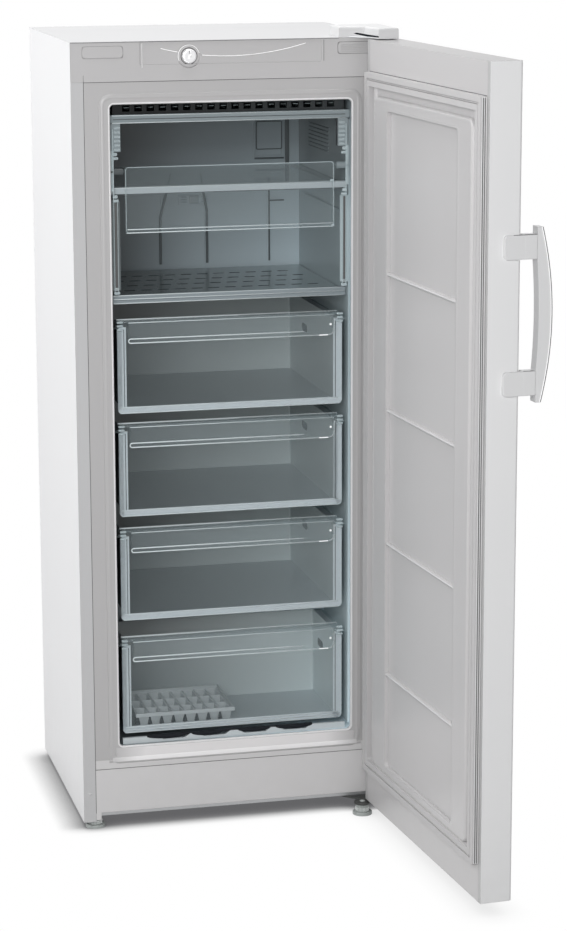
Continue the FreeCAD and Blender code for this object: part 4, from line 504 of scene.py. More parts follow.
finish_of["tub_plastic"] += "".join(f" {drawer}_drawer_tub" for drawer in drawers)


def paint(piece, material):
    piece.data.materials.clear()
    piece.data.materials.append(materials[material])


for material, names in finish_of.items():
    for name in names.split():
        paint(nodes[name], material)
print("painted:", sum(len(names.split()) for names in finish_of.values()))

# %% [markdown]
# The details that follow are drawn in the builder's own millimetres, with x = 0 at the middle of the cabinet,
# y = 0 at its front plane and z = 0 on the floor. One function turns such a point into the frame's metres.
# Pieces of the door are drawn on the closed door and then swung open about the hinge, like the door itself.

# %% Drawing helpers
shift_x, shift_y = 275.0, -19.0
hinge = frame["joints"][0]
assert hinge["name"] == "door_hinge"
open_angle = math.radians(-hinge["range_deg"][0])
hinge_place = Vector((hinge["pos_m"][0], hinge["pos_m"][1], 0.0))
door_swing = (Matrix.Translation(hinge_place) @ Matrix.Rotation(open_angle, 4, "Z")
              @ Matrix.Translation(-hinge_place))


def mm(x, y, z):
    return Vector(((x + shift_x) / 1000, (y + shift_y) / 1000, z / 1000))


def place_piece(piece, body, material):
    """Give a new piece its finish and the body that it moves with."""
    bpy.context.scene.collection.objects.link(piece)
    paint(piece, material)
    if body == "door":
        piece.matrix_world = door_swing
    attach(piece, body)
    return piece


def mesh_piece(name, shape, body, material):
    """Turn a bmesh into an object that rides on a body."""
    mesh = bpy.data.meshes.new(name)
    shape.to_mesh(mesh)
    shape.free()
    return place_piece(bpy.data.objects.new(name, mesh), body, material)


def add_block(shape, low, high, radius=0.0, segments=2):
    """Add a box between two corners in millimetres to a bmesh, with its edges rounded."""
    a, b = mm(*low), mm(*high)
    middle, size = (a + b) / 2, b - a
    made = bmesh.ops.create_cube(shape, size=1.0)["verts"]
    for vertex in made:
        vertex.co = Vector([vertex.co[i] * size[i] + middle[i] for i in range(3)])
    if radius:
        edges = list({edge for vertex in made for edge in vertex.link_edges})
        bmesh.ops.bevel(shape, geom=edges, offset=radius / 1000, segments=segments, profile=0.5,
                        affect="EDGES")


def blocks(name, boxes, body, material, radius=0.0, segments=2):
    """One piece made of several rounded boxes."""
    shape = bmesh.new()
    for low, high in boxes:
        add_block(shape, low, high, radius, segments)
    return mesh_piece(name, shape, body, material)


def wires(name, paths, radius, body, material):
    """One piece made of round wires; each path is a list of points in millimetres."""
    data = bpy.data.curves.new(name, "CURVE")
    data.dimensions = "3D"
    data.bevel_depth = radius / 1000
    data.bevel_resolution = 3
    data.use_fill_caps = True
    for path in paths:
        spline = data.splines.new("POLY")
        spline.points.add(len(path) - 1)
        for point, place in zip(spline.points, path):
            point.co = (*mm(*place), 1.0)
    piece = bpy.data.objects.new(name, data)
    return place_piece(piece, body, material)


def corner(centre_x, centre_z, radius, first, last, y, steps=6):
    """Points along an arc in the XZ plane, angles in degrees from +X towards +Z."""
    angles = [math.radians(first + (last - first) * step / steps) for step in range(steps + 1)]
    return [(centre_x + radius * math.cos(a), y, centre_z + radius * math.sin(a)) for a in angles]


def millimetres(name):
    """A frame piece's lowest and highest corners in the builder's millimetres."""
    low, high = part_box(name)
    move = Vector((shift_x, shift_y, 0.0))
    return low * 1000 - move, high * 1000 - move


def rounded_ring(x0, x1, z0, z1, radius, y):
    """A closed path round a rectangle with rounded corners, in the XZ plane at y."""
    path = corner(x1 - radius, z1 - radius, radius, 0, 90, y)
    path += corner(x0 + radius, z1 - radius, radius, 90, 180, y)
    path += corner(x0 + radius, z0 + radius, radius, 180, 270, y)
    path += corner(x1 - radius, z0 + radius, radius, 270, 360, y)
    return path + path[:1]


def both_sides(low, high):
    """A box and its mirror image on the other side of the cabinet."""
    return [(low, high), ((-high[0], low[1], low[2]), (-low[0], high[1], high[2]))]


print("door swings open by", round(math.degrees(open_angle), 1), "degrees about", tuple(hinge_place[:2]))

# %% [markdown]
# The front of the cabinet is made of a few large mouldings, and it is the thin dark seams between them that
# show where one ends. A seam could be cut into both neighbours; a dark strip a fraction of a millimetre proud
# of the joint looks the same and leaves the frame's shapes alone.

# %% Seams of the front
face_edge = 276.0
fascia_low = 1427.0
kick_low, face_low = 31.0, 118.0

seams = both_sides((-face_edge - 0.6, -0.2, kick_low), (-face_edge + 0.3, 0.8, fascia_low))
seams += [((-face_edge, -0.2, height - 0.5), (face_edge, 0.8, height + 0.4))
          for height in (fascia_low, face_low)]
seams += [((-face_edge - 0.4, -0.15, fascia_low), (-face_edge + 0.2, 0.8, fascia_low + 13.0))]
blocks("cabinet_seams", seams, "cabinet", "seam_shadow")
print("seams:", len(seams))

# %% [markdown]
# The fascia has a recessed field, and in it a fine bead that starts at the left, passes round the knob and
# rises to the right. It is part of one large circle, so three points give the whole curve. It lies in the
# groove that the fascia already has, and it glows a little as a painted highlight. The field's left edge gets
# a pale line of painted highlight, and its right edge a dark line of painted shade.

# %% Bead of the fascia
knob_x, knob_z, knob_radius = -79.5, 1471.5, 13.5
bead_depth = 1.3


def arc_through(first, middle, last, steps):
    """Points on the circle through three points (x, z)."""
    (x1, z1), (x2, z2), (x3, z3) = first, middle, last
    scale = 2 * (x1 * (z2 - z3) + x2 * (z3 - z1) + x3 * (z1 - z2))
    squares = [x * x + z * z for x, z in (first, middle, last)]
    centre_x = (squares[0] * (z2 - z3) + squares[1] * (z3 - z1) + squares[2] * (z1 - z2)) / scale
    centre_z = (squares[0] * (x3 - x2) + squares[1] * (x1 - x3) + squares[2] * (x2 - x1)) / scale
    radius = math.hypot(x1 - centre_x, z1 - centre_z)
    start = math.atan2(z1 - centre_z, x1 - centre_x)
    end = math.atan2(z3 - centre_z, x3 - centre_x)
    if centre_z > z2 and start > 0:
        start -= 2 * math.pi
    if centre_z > z2 and end > 0:
        end -= 2 * math.pi
    angles = [start + (end - start) * step / steps for step in range(steps + 1)]
    return [(centre_x + radius * math.cos(a), centre_z + radius * math.sin(a)) for a in angles]


smile = arc_through((-132.0, 1486.0), (8.0, 1470.5), (141.0, 1491.0), 60)
ring_radius = knob_radius + 6.6
outside = [(x, z) for x, z in smile if math.hypot(x - knob_x, z - knob_z) > ring_radius + 0.5]
left_part = [(x, bead_depth, z) for x, z in outside if x < knob_x]
right_part = [(x, bead_depth, z) for x, z in outside if x > knob_x]
knob_ring = [(knob_x + ring_radius * math.cos(math.radians(a)), bead_depth,
              knob_z + ring_radius * math.sin(math.radians(a))) for a in range(15, 206, 10)]
wires("fascia_bead", [left_part, right_part], 0.75, "cabinet", "painted_highlight")
wires("knob_bead", [knob_ring], 0.5, "cabinet", "painted_highlight")
field_left, field_right = -167.0, 175.5
wires("field_edge_left", [[(field_left, 0.2, 1452.0), (field_left, 0.2, 1496.0)]], 0.8, "cabinet",
      "plastic_painted_highlight")
wires("field_edge_right", [[(field_right, 0.1, 1458.0), (field_right, 0.1, 1496.5)]], 0.45, "cabinet",
      "seam_shadow")
print("points along the bead:", len(outside))

# %% [markdown]
# Where the top panel meets the side and the front, its folded edge throws a hair-thin shadow. The fascia's two
# spare windows are closed by snapped-in caps, and the right one has fine finger ridges.

# %% Top edge and caps
top_lines = [[(-299.5, 0.4, 1499.5), (-299.5, 479.0, 1499.5)],
             [(-299.0, -0.1, 1498.8), (204.0, -0.1, 1498.8)]]
wires("top_edge_lines", top_lines, 0.5, "cabinet", "dark_painted_shade")

cap_middle, cap_half = 240, 37.7
for side, name, tone in ((-1, "left", "seam_soft"), (1, "right", "seam_shadow")):
    middle_x = side * cap_middle
    outline = rounded_ring(middle_x - cap_half, middle_x + cap_half, 1470.3, 1491.7, 3.5, -0.1)
    wires(f"{name}_cap_outline", [outline], 0.35, "cabinet", tone)
cap_ridges = [((208.0, -1.3, 1473.5 + 3.2 * row), (272.0, -0.6, 1474.5 + 3.2 * row)) for row in range(5)]
blocks("cap_ridges", cap_ridges, "cabinet", "face_plastic", 0.3)
print("ridges on the right cap:", len(cap_ridges))

# %% [markdown]
# A plastic cover hides the top hinge. It ends in a rounded block over the pin, and beside the door a narrow
# black wedge of shade shows. The wedge is a thin plate in that form, near black with painted shade. Low on
# the left flange a small plug closes a hole.

# %% Hinge cover and plug
slit_front, slit_depth = -66.95, 0.0006
blocks("hinge_end_block", [((272.5, -66.8, 1503.0), (299.6, -52.0, 1519.6))], "cabinet", "cover_plastic",
       1.5)
slit = bmesh.new()
slit_outline = [(214.0, 1511.6), (220.0, 1512.6), (240.0, 1509.0), (262.0, 1505.2), (290.0, 1504.6),
                (290.0, 1502.6), (262.0, 1502.6), (240.0, 1505.0), (220.0, 1509.4)]
slit_face = slit.faces.new([slit.verts.new(mm(x, slit_front, z)) for x, z in slit_outline])
deepened = bmesh.ops.extrude_face_region(slit, geom=[slit_face])["geom"]
for vertex in (item for item in deepened if isinstance(item, bmesh.types.BMVert)):
    vertex.co.y += slit_depth
bmesh.ops.recalc_face_normals(slit, faces=slit.faces)
mesh_piece("hinge_slit", slit, "cabinet", "painted_hollow_shade")

dimple = bmesh.new()
bmesh.ops.create_uvsphere(dimple, u_segments=20, v_segments=10, radius=0.003)
for vertex in dimple.verts:
    vertex.co = mm(-287.0, -0.1, 70.0) + Vector((vertex.co.x, vertex.co.y * 0.3, vertex.co.z))
mesh_piece("flange_plug", dimple, "cabinet", "white_sheet")
print("corners of the wedge:", len(slit_outline))

# %% [markdown]
# Round the opening the liner swells into a soft band, then turns in with a rounded lip, drawn bright with a
# painted highlight. Under the opening it slopes down to a broad rounded ledge. The band and the lip are round
# bars sunk into the liner, so that only their crowns stand out and the light runs off them without an edge. The
# slope, the ledge and the strip below are flat bars with rounded edges. The slope and the ledge are lighter
# than the liner, a painted highlight, which runs out softly towards both ends.

# %% Soft forms round the opening
band = rounded_ring(-242.0, 242.0, 134.0, 1399.0, 14.0, 7.6)
wires("opening_band", [band], 10.0, "cabinet", "liner_plastic")
lip = rounded_ring(-230.6, 230.6, 160.6, 1388.2, 10.0, 0.2)
wires("opening_lip", [lip], 2.2, "cabinet", "plastic_painted_highlight")
blocks("sill_ledge", [((-243.0, -2.5, 131.0), (243.0, 3.0, 141.5))], "cabinet", "sill_ridge_painted_highlight",
       2.4, 4)
blocks("sill_slope", [((-236.0, -2.1, 138.0), (236.0, 2.0, 158.8))], "cabinet", "sill_slope",
       1.0)
blocks("sill_strip", [((-275.4, -0.12, 118.4), (275.4, 1.5, 136.0))], "cabinet", "kick_plastic",
       0.3)
print("points round the band:", len(band))

# %% [markdown]
# The knob is a short silvery turning with a brushed end. Brushed metal throws its highlights outwards from the
# middle, so the disc on its end is a fan of narrow facets that tilt a little to and fro, and the light does the
# rest. A thin dark ring sits where the knob enters the fascia.

# %% Knob
facets = 36
disc_radius = 12.0
knob_face = bmesh.new()
centre = knob_face.verts.new(mm(knob_x, -8.3, knob_z))
rim = []
for index in range(facets):
    angle = 2 * math.pi * index / facets
    depth = -7.9 + (0.5 if index % 2 else 0.0)
    rim.append(knob_face.verts.new(mm(knob_x + disc_radius * math.cos(angle), depth,
                                      knob_z + disc_radius * math.sin(angle))))
for index in range(facets):
    knob_face.faces.new((centre, rim[index], rim[(index + 1) % facets]))
mesh_piece("knob_face", knob_face, "thermostat_knob", "knob_silver")


def knob_circle(radius, y):
    return [(knob_x + radius * math.cos(math.radians(a)), y, knob_z + radius * math.sin(math.radians(a)))
            for a in range(0, 361, 10)]


wires("knob_shadow_ring", [knob_circle(14.9, 1.0)], 0.7, "cabinet", "seam_shadow")
pointer = [(knob_x, -8.4, knob_z + 4.0), (knob_x, -8.2, knob_z + 11.0)]
wires("knob_pointer", [pointer], 0.6, "thermostat_knob", "seam_shadow")
print("facets on the knob:", facets)

# %% [markdown]
# A soft magnetic gasket is pushed into the edge of the door's inner side. It is a bellows, which shows as
# shaded folds between lit crests. Only the folds at the free edge and along the top are seen, so they are
# drawn there as wires, the folds dark with painted shade and the crests pale with painted highlight, and two
# lips run round the gasket's face.

# %% Gasket
folds = [[(-286.9, y, 100.0), (-286.9, y, 1437.0)] for y in (-5.4, -8.8)]
folds += [[(-285.0, -10.9, 1440.3), (285.0, -10.9, 1440.3)]]
wires("gasket_folds", folds, 0.9, "door", "dark_painted_shade")
crests = [[(-287.2, y, 99.0), (-287.2, y, 1438.0)] for y in (-3.4, -7.1, -10.9)]
wires("gasket_crests", crests, 0.8, "door", "plastic_painted_highlight")
lips = [[(-287.0 + inset, -1.5, 99.0 + inset)] + corner(-283.0 + inset, 1436.0 - inset, 4.0, 180, 90, -1.5)
        + corner(283.0 - inset, 1436.0 - inset, 4.0, 90, 0, -1.5) + [(287.0 - inset, -1.5, 99.0 + inset)]
        for inset in (3.0, 12.5)]
wires("gasket_lips", lips, 1.0, "door", "gasket_rubber")
print("folds and crests:", len(folds), len(crests))

# %% [markdown]
# The door's inner side is one pale formed sheet: a raised frame, a flat panel and four ribs. The forming
# leaves every edge soft. Round bars sunk almost whole into the sheet give that soft edge, and they sit on the
# sheet's own forms. The bars on the ribs' crowns are lighter, a painted highlight.

# %% Door's inner side
marks = bmesh.new()
bmesh.ops.create_uvsphere(marks, u_segments=16, v_segments=8, radius=0.0022)
for vertex in marks.verts:
    vertex.co = mm(-227.0, -9.0, 126.0) + Vector((vertex.co.x * 2.0, vertex.co.y, vertex.co.z))
mesh_piece("liner_plug", marks, "door", "seam_soft")

pillow = [(-252.0, 252.0, 106.0, 1428.0, 6.0, -13.0), (-235.0, 235.0, 124.0, 1393.0, 7.0, -10.6),
          (-181.0, 181.0, 130.0, 1381.0, 6.0, -9.6)]
for index, (x0, x1, z0, z1, radius, depth) in enumerate(pillow):
    ring = rounded_ring(x0, x1, z0, z1, 12.0, depth)
    wires(f"liner_ridge_{index + 1}", [ring], radius, "door", "door_plastic")
rib_half = 172.0
rib_heights = (316.0, 570.0, 824.0, 1078.0)
rib_lines = [[(-rib_half, -6.6, height), (rib_half, -6.6, height)] for height in rib_heights]
wires("liner_rib_crowns", rib_lines, 1.6, "door", "rib_crown_painted_highlight")
print("ribs:", len(rib_lines))

# %% [markdown]
# Two brackets carry the grip on the door's free edge, and each has a cover plate that hides its screws. The
# plate's outline is a rectangle with two rounded corners. It is extruded, and only its outer rim is bevelled,
# so that the inner rim sits flush on the door.

# %% Plates of the handle
plate_back, plate_front = -300.0, -306.0
plate_end, corner_y, corner_radius = -99.0, -46.0, 7.0


def plate_corner(centre_z, angles):
    """A rounded corner of a plate, as points (y, z), for a range of angles in degrees."""
    return [(corner_y + corner_radius * math.cos(math.radians(a)),
             centre_z + corner_radius * math.sin(math.radians(a))) for a in angles]


def on_front(vertex):
    return abs(vertex.co.x - mm(plate_front, 0, 0).x) < 1e-6


plates = bmesh.new()
for low_z, high_z in ((933.5, 975.5), (1166.5, 1208.5)):
    outline = [(plate_end, low_z), (plate_end, high_z)]
    outline += plate_corner(high_z - corner_radius, range(90, -1, -15))
    outline += plate_corner(low_z + corner_radius, range(0, -91, -15))
    before = set(plates.verts)
    face = plates.faces.new([plates.verts.new(mm(plate_back, y, z)) for y, z in outline])
    grown = bmesh.ops.extrude_face_region(plates, geom=[face])["geom"]
    for vertex in (item for item in grown if isinstance(item, bmesh.types.BMVert)):
        vertex.co.x += (plate_front - plate_back) / 1000
    rims = [edge for edge in plates.edges if edge.verts[0] not in before
            and on_front(edge.verts[0]) and on_front(edge.verts[1])]
    bmesh.ops.bevel(plates, geom=rims, offset=0.0012, segments=2, profile=0.5, affect="EDGES")
    add_block(plates, (-305.6, plate_end, low_z), (-283.5, -76.0, high_z), 1.2)
bmesh.ops.recalc_face_normals(plates, faces=plates.faces)
handle_plates = mesh_piece("handle_plates", plates, "door", "handle_plastic")
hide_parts("handle_brackets", "handle_screws")

# %% [markdown]
# The grip is a bow. Its outer curve ends in a thin bright line of painted highlight with a dark edge of
# painted shade beside it. Both lines follow one curve, a parabola between the grip's ends, and a third line of
# painted shade lies on the upper bracket.

# %% Lines of the grip
grip_side = -305.8
grip_low, grip_high = 921.5, 1220.5


def bow(depth_at_ends, depth_in_middle, x, steps=24):
    """Points along the grip's curve, from its lower to its upper end."""
    points = []
    for step in range(steps + 1):
        share = step / steps
        sag = 4 * share * (1 - share)
        points.append((x, depth_at_ends + (depth_in_middle - depth_at_ends) * sag,
                       grip_low + (grip_high - grip_low) * share))
    return points


wires("grip_edge", [bow(-108.1, -126.9, grip_side + 0.2)], 0.8, "door", "dark_painted_shade")
wires("grip_line", [bow(-106.6, -125.4, grip_side + 0.1)], 0.7, "door", "painted_highlight")
wires("bracket_line", [[(-305.7, -55.0, 1208.4), (-305.7, -98.0, 1208.4)]], 0.5, "door", "dark_painted_shade")
print("height of the grip in mm:", grip_high - grip_low)

# %% [markdown]
# Inside the cabinet the walls are drawn dark and cool with painted shade. What the eye reads on the back wall
# are the dark grooves of the duct, a recess in the upper right and a small grille. The grooves are wires that
# stand half out of the wall, in a darker tone of painted shade than the wall; the same painted shade outlines
# the recess, and a dark block of painted shadow lies beside it.

# %% Back wall
back_face = 392.6

duct_lines = [
    [(-36.0, back_face, 1212.0), (-47.0, back_face, 1172.0), (-59.0, back_face, 1126.0),
     (-59.0, back_face, 1032.0)],
    [(24.0, back_face, 1212.0), (29.0, back_face, 1172.0), (35.5, back_face, 1138.0),
     (35.5, back_face, 1032.0)],
    [(163.5, back_face, 1200.0), (163.5, back_face, 1032.0)],
    [(163.5, back_face, 1153.0), (194.0, back_face, 1153.0)],
    [(134.0, back_face - 1.0, 1238.0), (194.0, back_face - 1.0, 1238.0)],
]
wires("duct_lines", duct_lines[:2], 2.5, "cabinet", "duct_shade")
wires("duct_corner_lines", duct_lines[2:], 1.6, "cabinet", "duct_shade")
vent_bars = [((x, 391.4, 1154.0 + 5.0 * row), (x + 12.0, 393.2, 1156.0 + 5.0 * row))
             for x in (-17.0, 25.0) for row in range(3)]
vent_bars.append(((0.0, 391.0, 1152.0), (19.0, 393.2, 1167.0)))
blocks("vent_bars", vent_bars, "cabinet", "runner_plastic", 0.6)
wires("recess_line", [rounded_ring(138.0, 190.0, 1256.0, 1311.0, 3.0, back_face - 0.2)], 0.9, "cabinet",
      "duct_shade")
blocks("duct_shadow", [((197.0, 391.8, 1227.0), (205.0, 393.2, 1346.0))], "cabinet", "duct_shade",
       0.4)
print("grooves of the duct:", len(duct_lines))

# %% [markdown]
# The side walls have embossed lines near the top, and the runner frames show pale strips, slots and clips;
# the slots are dark strips of painted shade. Both sides are mirror images, so a helper draws each box twice.

# %% Side walls and runners
wall_face = 225.4
embossed = [[(wall_face, 158.0, 1272.0 + 7.5 * row), (wall_face, 310.0, 1270.0 + 7.5 * row)]
            for row in range(7)]
wires("wall_emboss", embossed, 1.3, "cabinet", "runner_plastic")
blocks("wall_wedge", both_sides((-225.8, 31.0, 1164.0), (-222.0, 342.0, 1173.0)), "cabinet",
       "runner_plastic", 1.2)

strips = both_sides((-226.5, 11.2, 1226.0), (-220.5, 12.8, 1300.0))
strips += both_sides((-222.5, 10.6, 1034.0), (-220.5, 12.6, 1340.0))
strips += both_sides((-215.5, 10.6, 1034.0), (-213.5, 12.6, 1206.0))
blocks("runner_strips", strips, "cabinet", "clear_edge_and_highlight", 0.8)
slots = both_sides((-219.8, 10.8, 1040.0), (-216.2, 11.8, 1204.0))
blocks("runner_slots", slots, "cabinet", "seam_shadow")
clips = []
for height in (1206.0, 1284.0, 1034.0):
    clips += both_sides((-223.0, 9.5, height), (-212.0, 14.0, height + 5.0))
    clips += both_sides((-223.0, 9.5, height + 7.0), (-214.0, 14.0, height + 13.0))
blocks("runner_clips", clips, "cabinet", "clear_edge_and_highlight", 1.5)

ridges = []
for row in range(6):
    height = 1300.0 + 8.0 * row
    ridges += both_sides((-219.0, 11.5, height), (-207.5, 14.2, height + 4.5))
blocks("corner_ridges", ridges, "cabinet", "clear_edge_and_highlight", 1.2)
print("clips and ridges:", len(clips), len(ridges))

# %% [markdown]
# Across the top runs the air duct, a louvred band over a pale rail; the band's black is painted shade inside
# the duct. Light catches the edge of each louvre and the edges of the rails, so the louvres get short pale
# dashes of painted highlight and the rails bright lines of painted highlight that grow faint towards the right,
# as they do in the light of the left lamp. The rails' grooves are dark lines of painted shade.

# %% Louvres and rails
louvres = 18
pitch = 2 * (219.7 - 14.0) / louvres
louvre_middles = [(index - 8.5) * pitch for index in range(louvres)]
dashes = [((x - 4.0, 20.6, 1377.9), (x + 5.0, 21.4, 1378.5)) for x in louvre_middles]
blocks("louvre_dashes", dashes, "cabinet", "clear_edge_and_highlight")

bright_rails = [[(-222.0, y, z), (222.0, y, z)] for y, z in (
    (13.8, 1364.5), (13.8, 1351.0), (25.8, 1230.0), (25.8, 1029.4), (25.8, 1022.5), (25.8, 1014.8))]
rail_grooves = [[(-220.0, y, z), (220.0, y, z)] for y, z in ((14.0, 1357.5), (26.0, 1218.2))]
wires("rail_grooves", rail_grooves, 0.8, "cabinet", "duct_shade")
wires("rail_highlights", bright_rails, 0.9, "cabinet", "fading_painted_highlight")
print("louvres and bright lines:", len(dashes), len(bright_rails))

# %% [markdown]
# The flap in front of the glass shelf is a clear sheet. On the real freezer it is seen almost only by the light
# on its edges, so a fine pale bead of painted highlight follows its outline, and brighter lines of painted
# highlight, fading towards the right, follow its turned lower lip.

# %% Flap
flap_low, flap_high = 1147.0, 1270.0
flap_half = 198.0
flap_lines = [rounded_ring(-flap_half, flap_half, flap_low + 1.0, flap_high - 1.0, 6.0, 13.6),
              [(-flap_half, 10.8, flap_low + 1.2), (flap_half, 10.8, flap_low + 1.2)],
              [(-196.0, 13.4, flap_low + 7.0), (196.0, 13.4, flap_low + 7.0)]]
wires("flap_edges", flap_lines[:1], 0.65, "clear_flap", "clear_edge_and_highlight")
wires("flap_lip_lines", flap_lines[1:], 1.0, "clear_flap", "fading_painted_highlight")
flap_tabs = [((193.0, 11.0, flap_low + 1.0), (198.5, 14.0, flap_low + 5.0)),
             ((191.0, 12.5, flap_high - 38.0), (197.5, 15.0, flap_high - 34.0))]
blocks("flap_tabs", flap_tabs, "clear_flap", "clear_edge_and_highlight", 1.0)
print("height of the flap in mm:", flap_high - flap_low)

# %% [markdown]
# Each drawer has a clear front whose upper edge rolls forward into a grip lip. Clear plastic shows as bright
# lines at its edges: a strong one along the lip's lower edge, a weaker one above it and one along the top. They
# are drawn as painted highlights that fade towards the right, with a few glowing glints of painted highlight.
# The lines are drawn from the front's own box, so that the four drawers can share one function.

# %% Lines of a drawer's clear front
front_plane = 20.8


def lip_path(side, top, depth):
    """The lip's lower edge: from behind its left end, round the corners and up its right end."""
    low = top - 40.0
    path = [(side - 60.0, depth, low + 8.0)]
    path += corner(-side + 4.0, low + 4.0, 4.0, 90, 270, depth)
    path += corner(side - 12.0, low + 12.0, 12.0, 270, 360, depth)
    return path + [(side, depth, top - 8.0)]


def front_lines(drawer):
    """The painted highlights, clips and painted glints of one drawer's front."""
    body = f"{drawer}_drawer"
    low, high = millimetres(f"{drawer}_drawer_front")
    side, bottom, top = high.x, low.z, high.z
    lip_side, lip_front = side - 19.0, low.y + 0.2
    wires(f"{drawer}_lip_edge", [lip_path(lip_side, top, lip_front)], 1.2, body, "fading_painted_highlight")
    top_flange = [((-side + 2.0, 20.5, top - 3.5), (side - 2.0, 50.0, top - 1.5))]
    blocks(f"{drawer}_top_flange", top_flange, body, "clear_plastic", 0.8)
    crest = [[(-side + 3.0, 50.0, top - 1.5), (side - 3.0, 50.0, top - 1.5)],
             [(-side + 3.0, 46.0, top - 1.0), (20.0, 46.0, top - 1.0)]]
    wires(f"{drawer}_crest", crest, 1.4, body, "fading_painted_highlight")
    fine = [[(-lip_side, lip_front, top - 1.6), (lip_side, lip_front, top - 1.6)]]
    for rise in (1.4, 12.0, 6.5) if drawer == "bottom" else (1.4, 12.0):
        fine.append([(-side + 4.0, front_plane, bottom + rise), (side - 8.0, front_plane, bottom + rise)])
    wires(f"{drawer}_fine_lines", fine, 0.7, body, "fading_painted_highlight")
    corner_clips = []
    for reach in (0.0, 7.0, 14.0):
        corner_clips += both_sides((-side - 1.0, 17.5, top - reach - 4.0),
                                   (-side + 11.0, 24.0, top - reach))
    blocks(f"{drawer}_corner_clips", corner_clips, body, "clear_edge_and_highlight", 1.5)
    glints = [((lip_side - 9.0, 8.0, top - 22.0), (lip_side - 5.0, 10.0, top - 18.0)),
              ((lip_side - 30.0, 7.4, top - 41.0), (lip_side - 12.0, 8.6, top - 39.0))]
    blocks(f"{drawer}_glint", glints, body, "painted_highlight", 0.7)


# %% [markdown]
# Behind the clear front stands the pale tub, whose inside is drawn darker with painted shade. Its frame has a
# dark line of painted shade along the inner edge of each upright, and in each side wall a hole lets a finger
# lift the drawer. Through the clear front the holes are dark ovals. A flat ellipsoid set into each hole closes
# the view to the wall behind, near black with painted shade.

# %% Frame and grip holes of a drawer
cup_half = (1.6, 25.0, 10.5)
cup_x, cup_drop = 205.0, 68.0


def tub_details(drawer):
    """The painted shade lines of one drawer's frame and the painted shade cups in its grip holes."""
    body = f"{drawer}_drawer"
    low, high = millimetres(f"{drawer}_drawer_front")
    stile = [[(end, 23.6, low.z + 13.0), (end, 23.6, high.z - 16.0)]
             for end in (-high.x + 12.8, high.x - 12.8)]
    wires(f"{drawer}_frame_lines", stile, 0.7, body, "duct_shade")
    hole_y = millimetres(f"{drawer}_drawer_tub")[1].y - (60.0 if drawer == "bottom" else 120.0)
    cups = bmesh.new()
    for end in (-1, 1):
        made = bmesh.ops.create_uvsphere(cups, u_segments=24, v_segments=10, radius=0.001)["verts"]
        for vertex in made:
            grown = Vector([vertex.co[axis] * cup_half[axis] for axis in range(3)])
            vertex.co = mm(end * cup_x, hole_y, high.z - cup_drop) + grown
    mesh_piece(f"{drawer}_grip_cups", cups, body, "painted_hollow_shade")


for drawer in drawers:
    front_lines(drawer)
    tub_details(drawer)
print("drawers dressed:", drawers)

# %% [markdown]
# The strip under the bottom drawer has four scalloped air inlets in its upper edge, which show black with
# shade. Each is a flattened ball of near black painted shade, cut off level with the strip's edge, and a dark
# bar of the same painted shade joins them under the drawer.

# %% Air inlets
strip_top = 0.176
scallops = bmesh.new()
for middle_x, half in ((-134.0, 40.0), (-54.0, 32.0), (38.0, 32.0), (118.0, 37.0)):
    made = bmesh.ops.create_uvsphere(scallops, u_segments=28, v_segments=12, radius=0.001)["verts"]
    for vertex in made:
        grown = Vector((vertex.co.x * half, vertex.co.y * 1.4, vertex.co.z * 6.5))
        vertex.co = mm(middle_x, 9.9, 174.6) + grown
        vertex.co.z = min(vertex.co.z, strip_top)
add_block(scallops, (-166.0, 11.0, 171.8), (154.0, 15.0, 176.4))
mesh_piece("inlet_scallops", scallops, "cabinet", "painted_hollow_shade")
print("top of the strip in metres:", strip_top)

# %% [markdown]
# The ice tray has eight by three wells. The gaps between them show as small dark notches along the front,
# drawn as thin plates of painted shade, and the rim of every well catches the light, drawn as a pale wire of
# painted highlight. Both are laid out on the tray's own grid.

# %% Ice tray
columns, rows = 8, 3
low, high = millimetres("ice_tray")
edge = 5.0
pitch_x, pitch_y = (high.x - low.x - 2 * edge) / columns, (high.y - low.y - 2 * edge) / rows
gaps = bmesh.new()
for column in range(columns):
    x = low.x + edge + pitch_x * column
    outline = [(x - 1.4, low.z + 18.5), (x + 1.4, low.z + 18.5),
               (x + 4.4, low.z + 5.0), (x - 4.4, low.z + 5.0)]
    gap = gaps.faces.new([gaps.verts.new(mm(px, low.y + 4.2, pz)) for px, pz in outline])
    grown = bmesh.ops.extrude_face_region(gaps, geom=[gap])["geom"]
    for vertex in (item for item in grown if isinstance(item, bmesh.types.BMVert)):
        vertex.co.y += 0.02
bmesh.ops.recalc_face_normals(gaps, faces=gaps.faces)
mesh_piece("tray_gaps", gaps, "ice_tray", "painted_hollow_shade")
well_rims = []
for column in range(columns):
    for row in range(rows):
        x0, y0 = low.x + edge + pitch_x * column + 1.6, low.y + edge + pitch_y * row + 1.6
        x1, y1 = x0 + pitch_x - 3.2, y0 + pitch_y - 3.2
        around = ((x0, y0), (x1, y0), (x1, y1), (x0, y1), (x0, y0))
        well_rims.append([(x, y, high.z - 5.9) for x, y in around])
wires("tray_rims", well_rims, 0.6, "ice_tray", "strip_plastic_and_rim_highlight")
print("wells:", len(well_rims))

# %% [markdown]
# Low down are the parts that carry the freezer. The levelling feet are turned by hand, so their collars have a
# ring of fine grips, drawn pale with a painted highlight. Behind, the compressor's shell is two pressed bowls
# with a welded seam.

# %% Feet and compressor
grip_count, collar_radius = 30, 13.0
for foot in ("left_front_foot", "right_front_foot"):
    low, high = millimetres(foot)
    middle_x, middle_y = (low.x + high.x) / 2, (low.y + high.y) / 2
    grips = []
    for index in range(grip_count):
        angle = 2 * math.pi * index / grip_count
        x, y = middle_x + collar_radius * math.cos(angle), middle_y + collar_radius * math.sin(angle)
        grips.append([(x, y, 7.5), (x, y, 14.5)])
    wires(f"{foot}_grips", grips, 0.6, foot, "grip_painted_highlight")

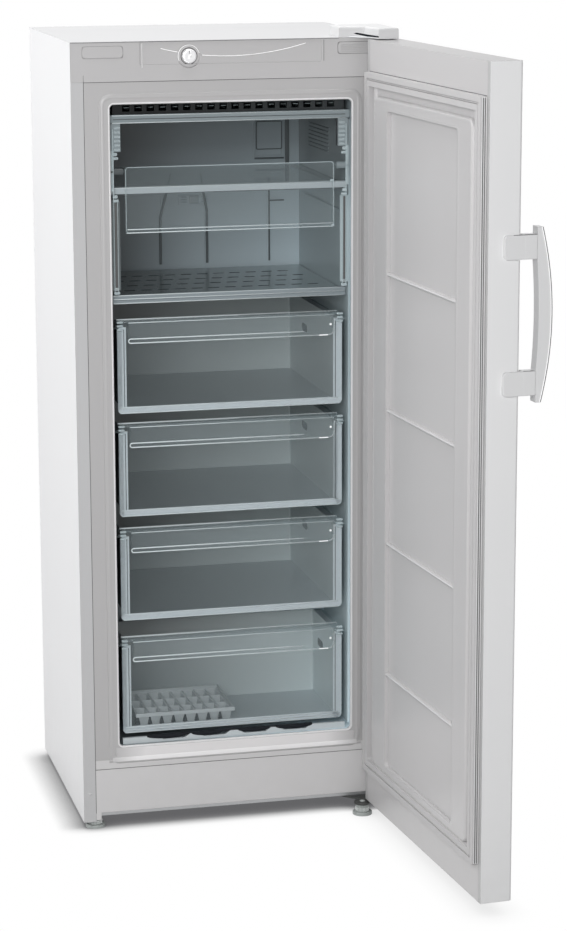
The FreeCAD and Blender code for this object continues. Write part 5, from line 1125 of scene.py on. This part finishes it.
low, high = millimetres("compressor")
seam_x, seam_y = (low.x + high.x) / 2, (low.y + high.y) / 2
seam_z, seam_radius = 120.0, 72.6
seam = [(seam_x + seam_radius * math.cos(math.radians(a)), seam_y + seam_radius * math.sin(math.radians(a)),
         seam_z) for a in range(0, 361, 6)]
wires("compressor_seam", [seam], 1.8, "cabinet", "black_enamel")
print("grips on each foot:", len(grips))

# %% [markdown]
# The floor is part of the studio and not of the freezer. To the camera, in reflections and through clear
# plastic it is as white as the backdrop, and it darkens only where the freezer stands close above it. That
# darkening is painted shadow, worked out by an occlusion node and made stronger under the cabinet than in front
# of it, as a soft box would cast it in a real studio. All other rays meet a plain pale floor.

# %% Studio floor
half_floor = 15.0
shade_reach = 0.055
floor_shape = bmesh.new()
bmesh.ops.create_grid(floor_shape, x_segments=2, y_segments=2, size=half_floor)
floor_mesh = bpy.data.meshes.new("studio_floor")
floor_shape.to_mesh(floor_mesh)
floor_shape.free()
floor = bpy.data.objects.new("studio_floor", floor_mesh)
bpy.context.scene.collection.objects.link(floor)

floor_finish = bpy.data.materials.new("studio_floor")
floor_finish.use_nodes = True
tree = floor_finish.node_tree
tree.nodes.clear()
occlusion = tree.nodes.new("ShaderNodeAmbientOcclusion")
occlusion.samples = 16
occlusion.inputs["Distance"].default_value = shade_reach
spot = tree.nodes.new("ShaderNodeSeparateXYZ")
tree.links.new(tree.nodes.new("ShaderNodeTexCoord").outputs["Object"], spot.inputs[0])
behind = math_node(tree, "MULTIPLY", math_node(tree, "ADD", spot.outputs["Y"], 0.045), 25.0, clamp=True)
strength = math_node(tree, "ADD", math_node(tree, "MULTIPLY", behind, 2.05), 0.2)
lift = math_node(tree, "POWER", occlusion.outputs["AO"], strength)
tone = mixed(tree, lift, (0.10, 0.10, 0.105), (1.0, 1.0, 1.0))
shown = tree.nodes.new("ShaderNodeEmission")
tree.links.new(tone, shown.inputs["Color"])
plain = tree.nodes.new("ShaderNodeBsdfDiffuse")
plain.inputs["Color"].default_value = (0.55, 0.55, 0.55, 1.0)
choice = tree.nodes.new("ShaderNodeMixShader")
tree.links.new(camera_sees(tree), choice.inputs["Fac"])
tree.links.new(plain.outputs[0], choice.inputs[1])
tree.links.new(shown.outputs[0], choice.inputs[2])
output = tree.nodes.new("ShaderNodeOutputMaterial")
tree.links.new(choice.outputs[0], output.inputs["Surface"])
floor.data.materials.append(floor_finish)
print("floor in metres:", 2 * half_floor)
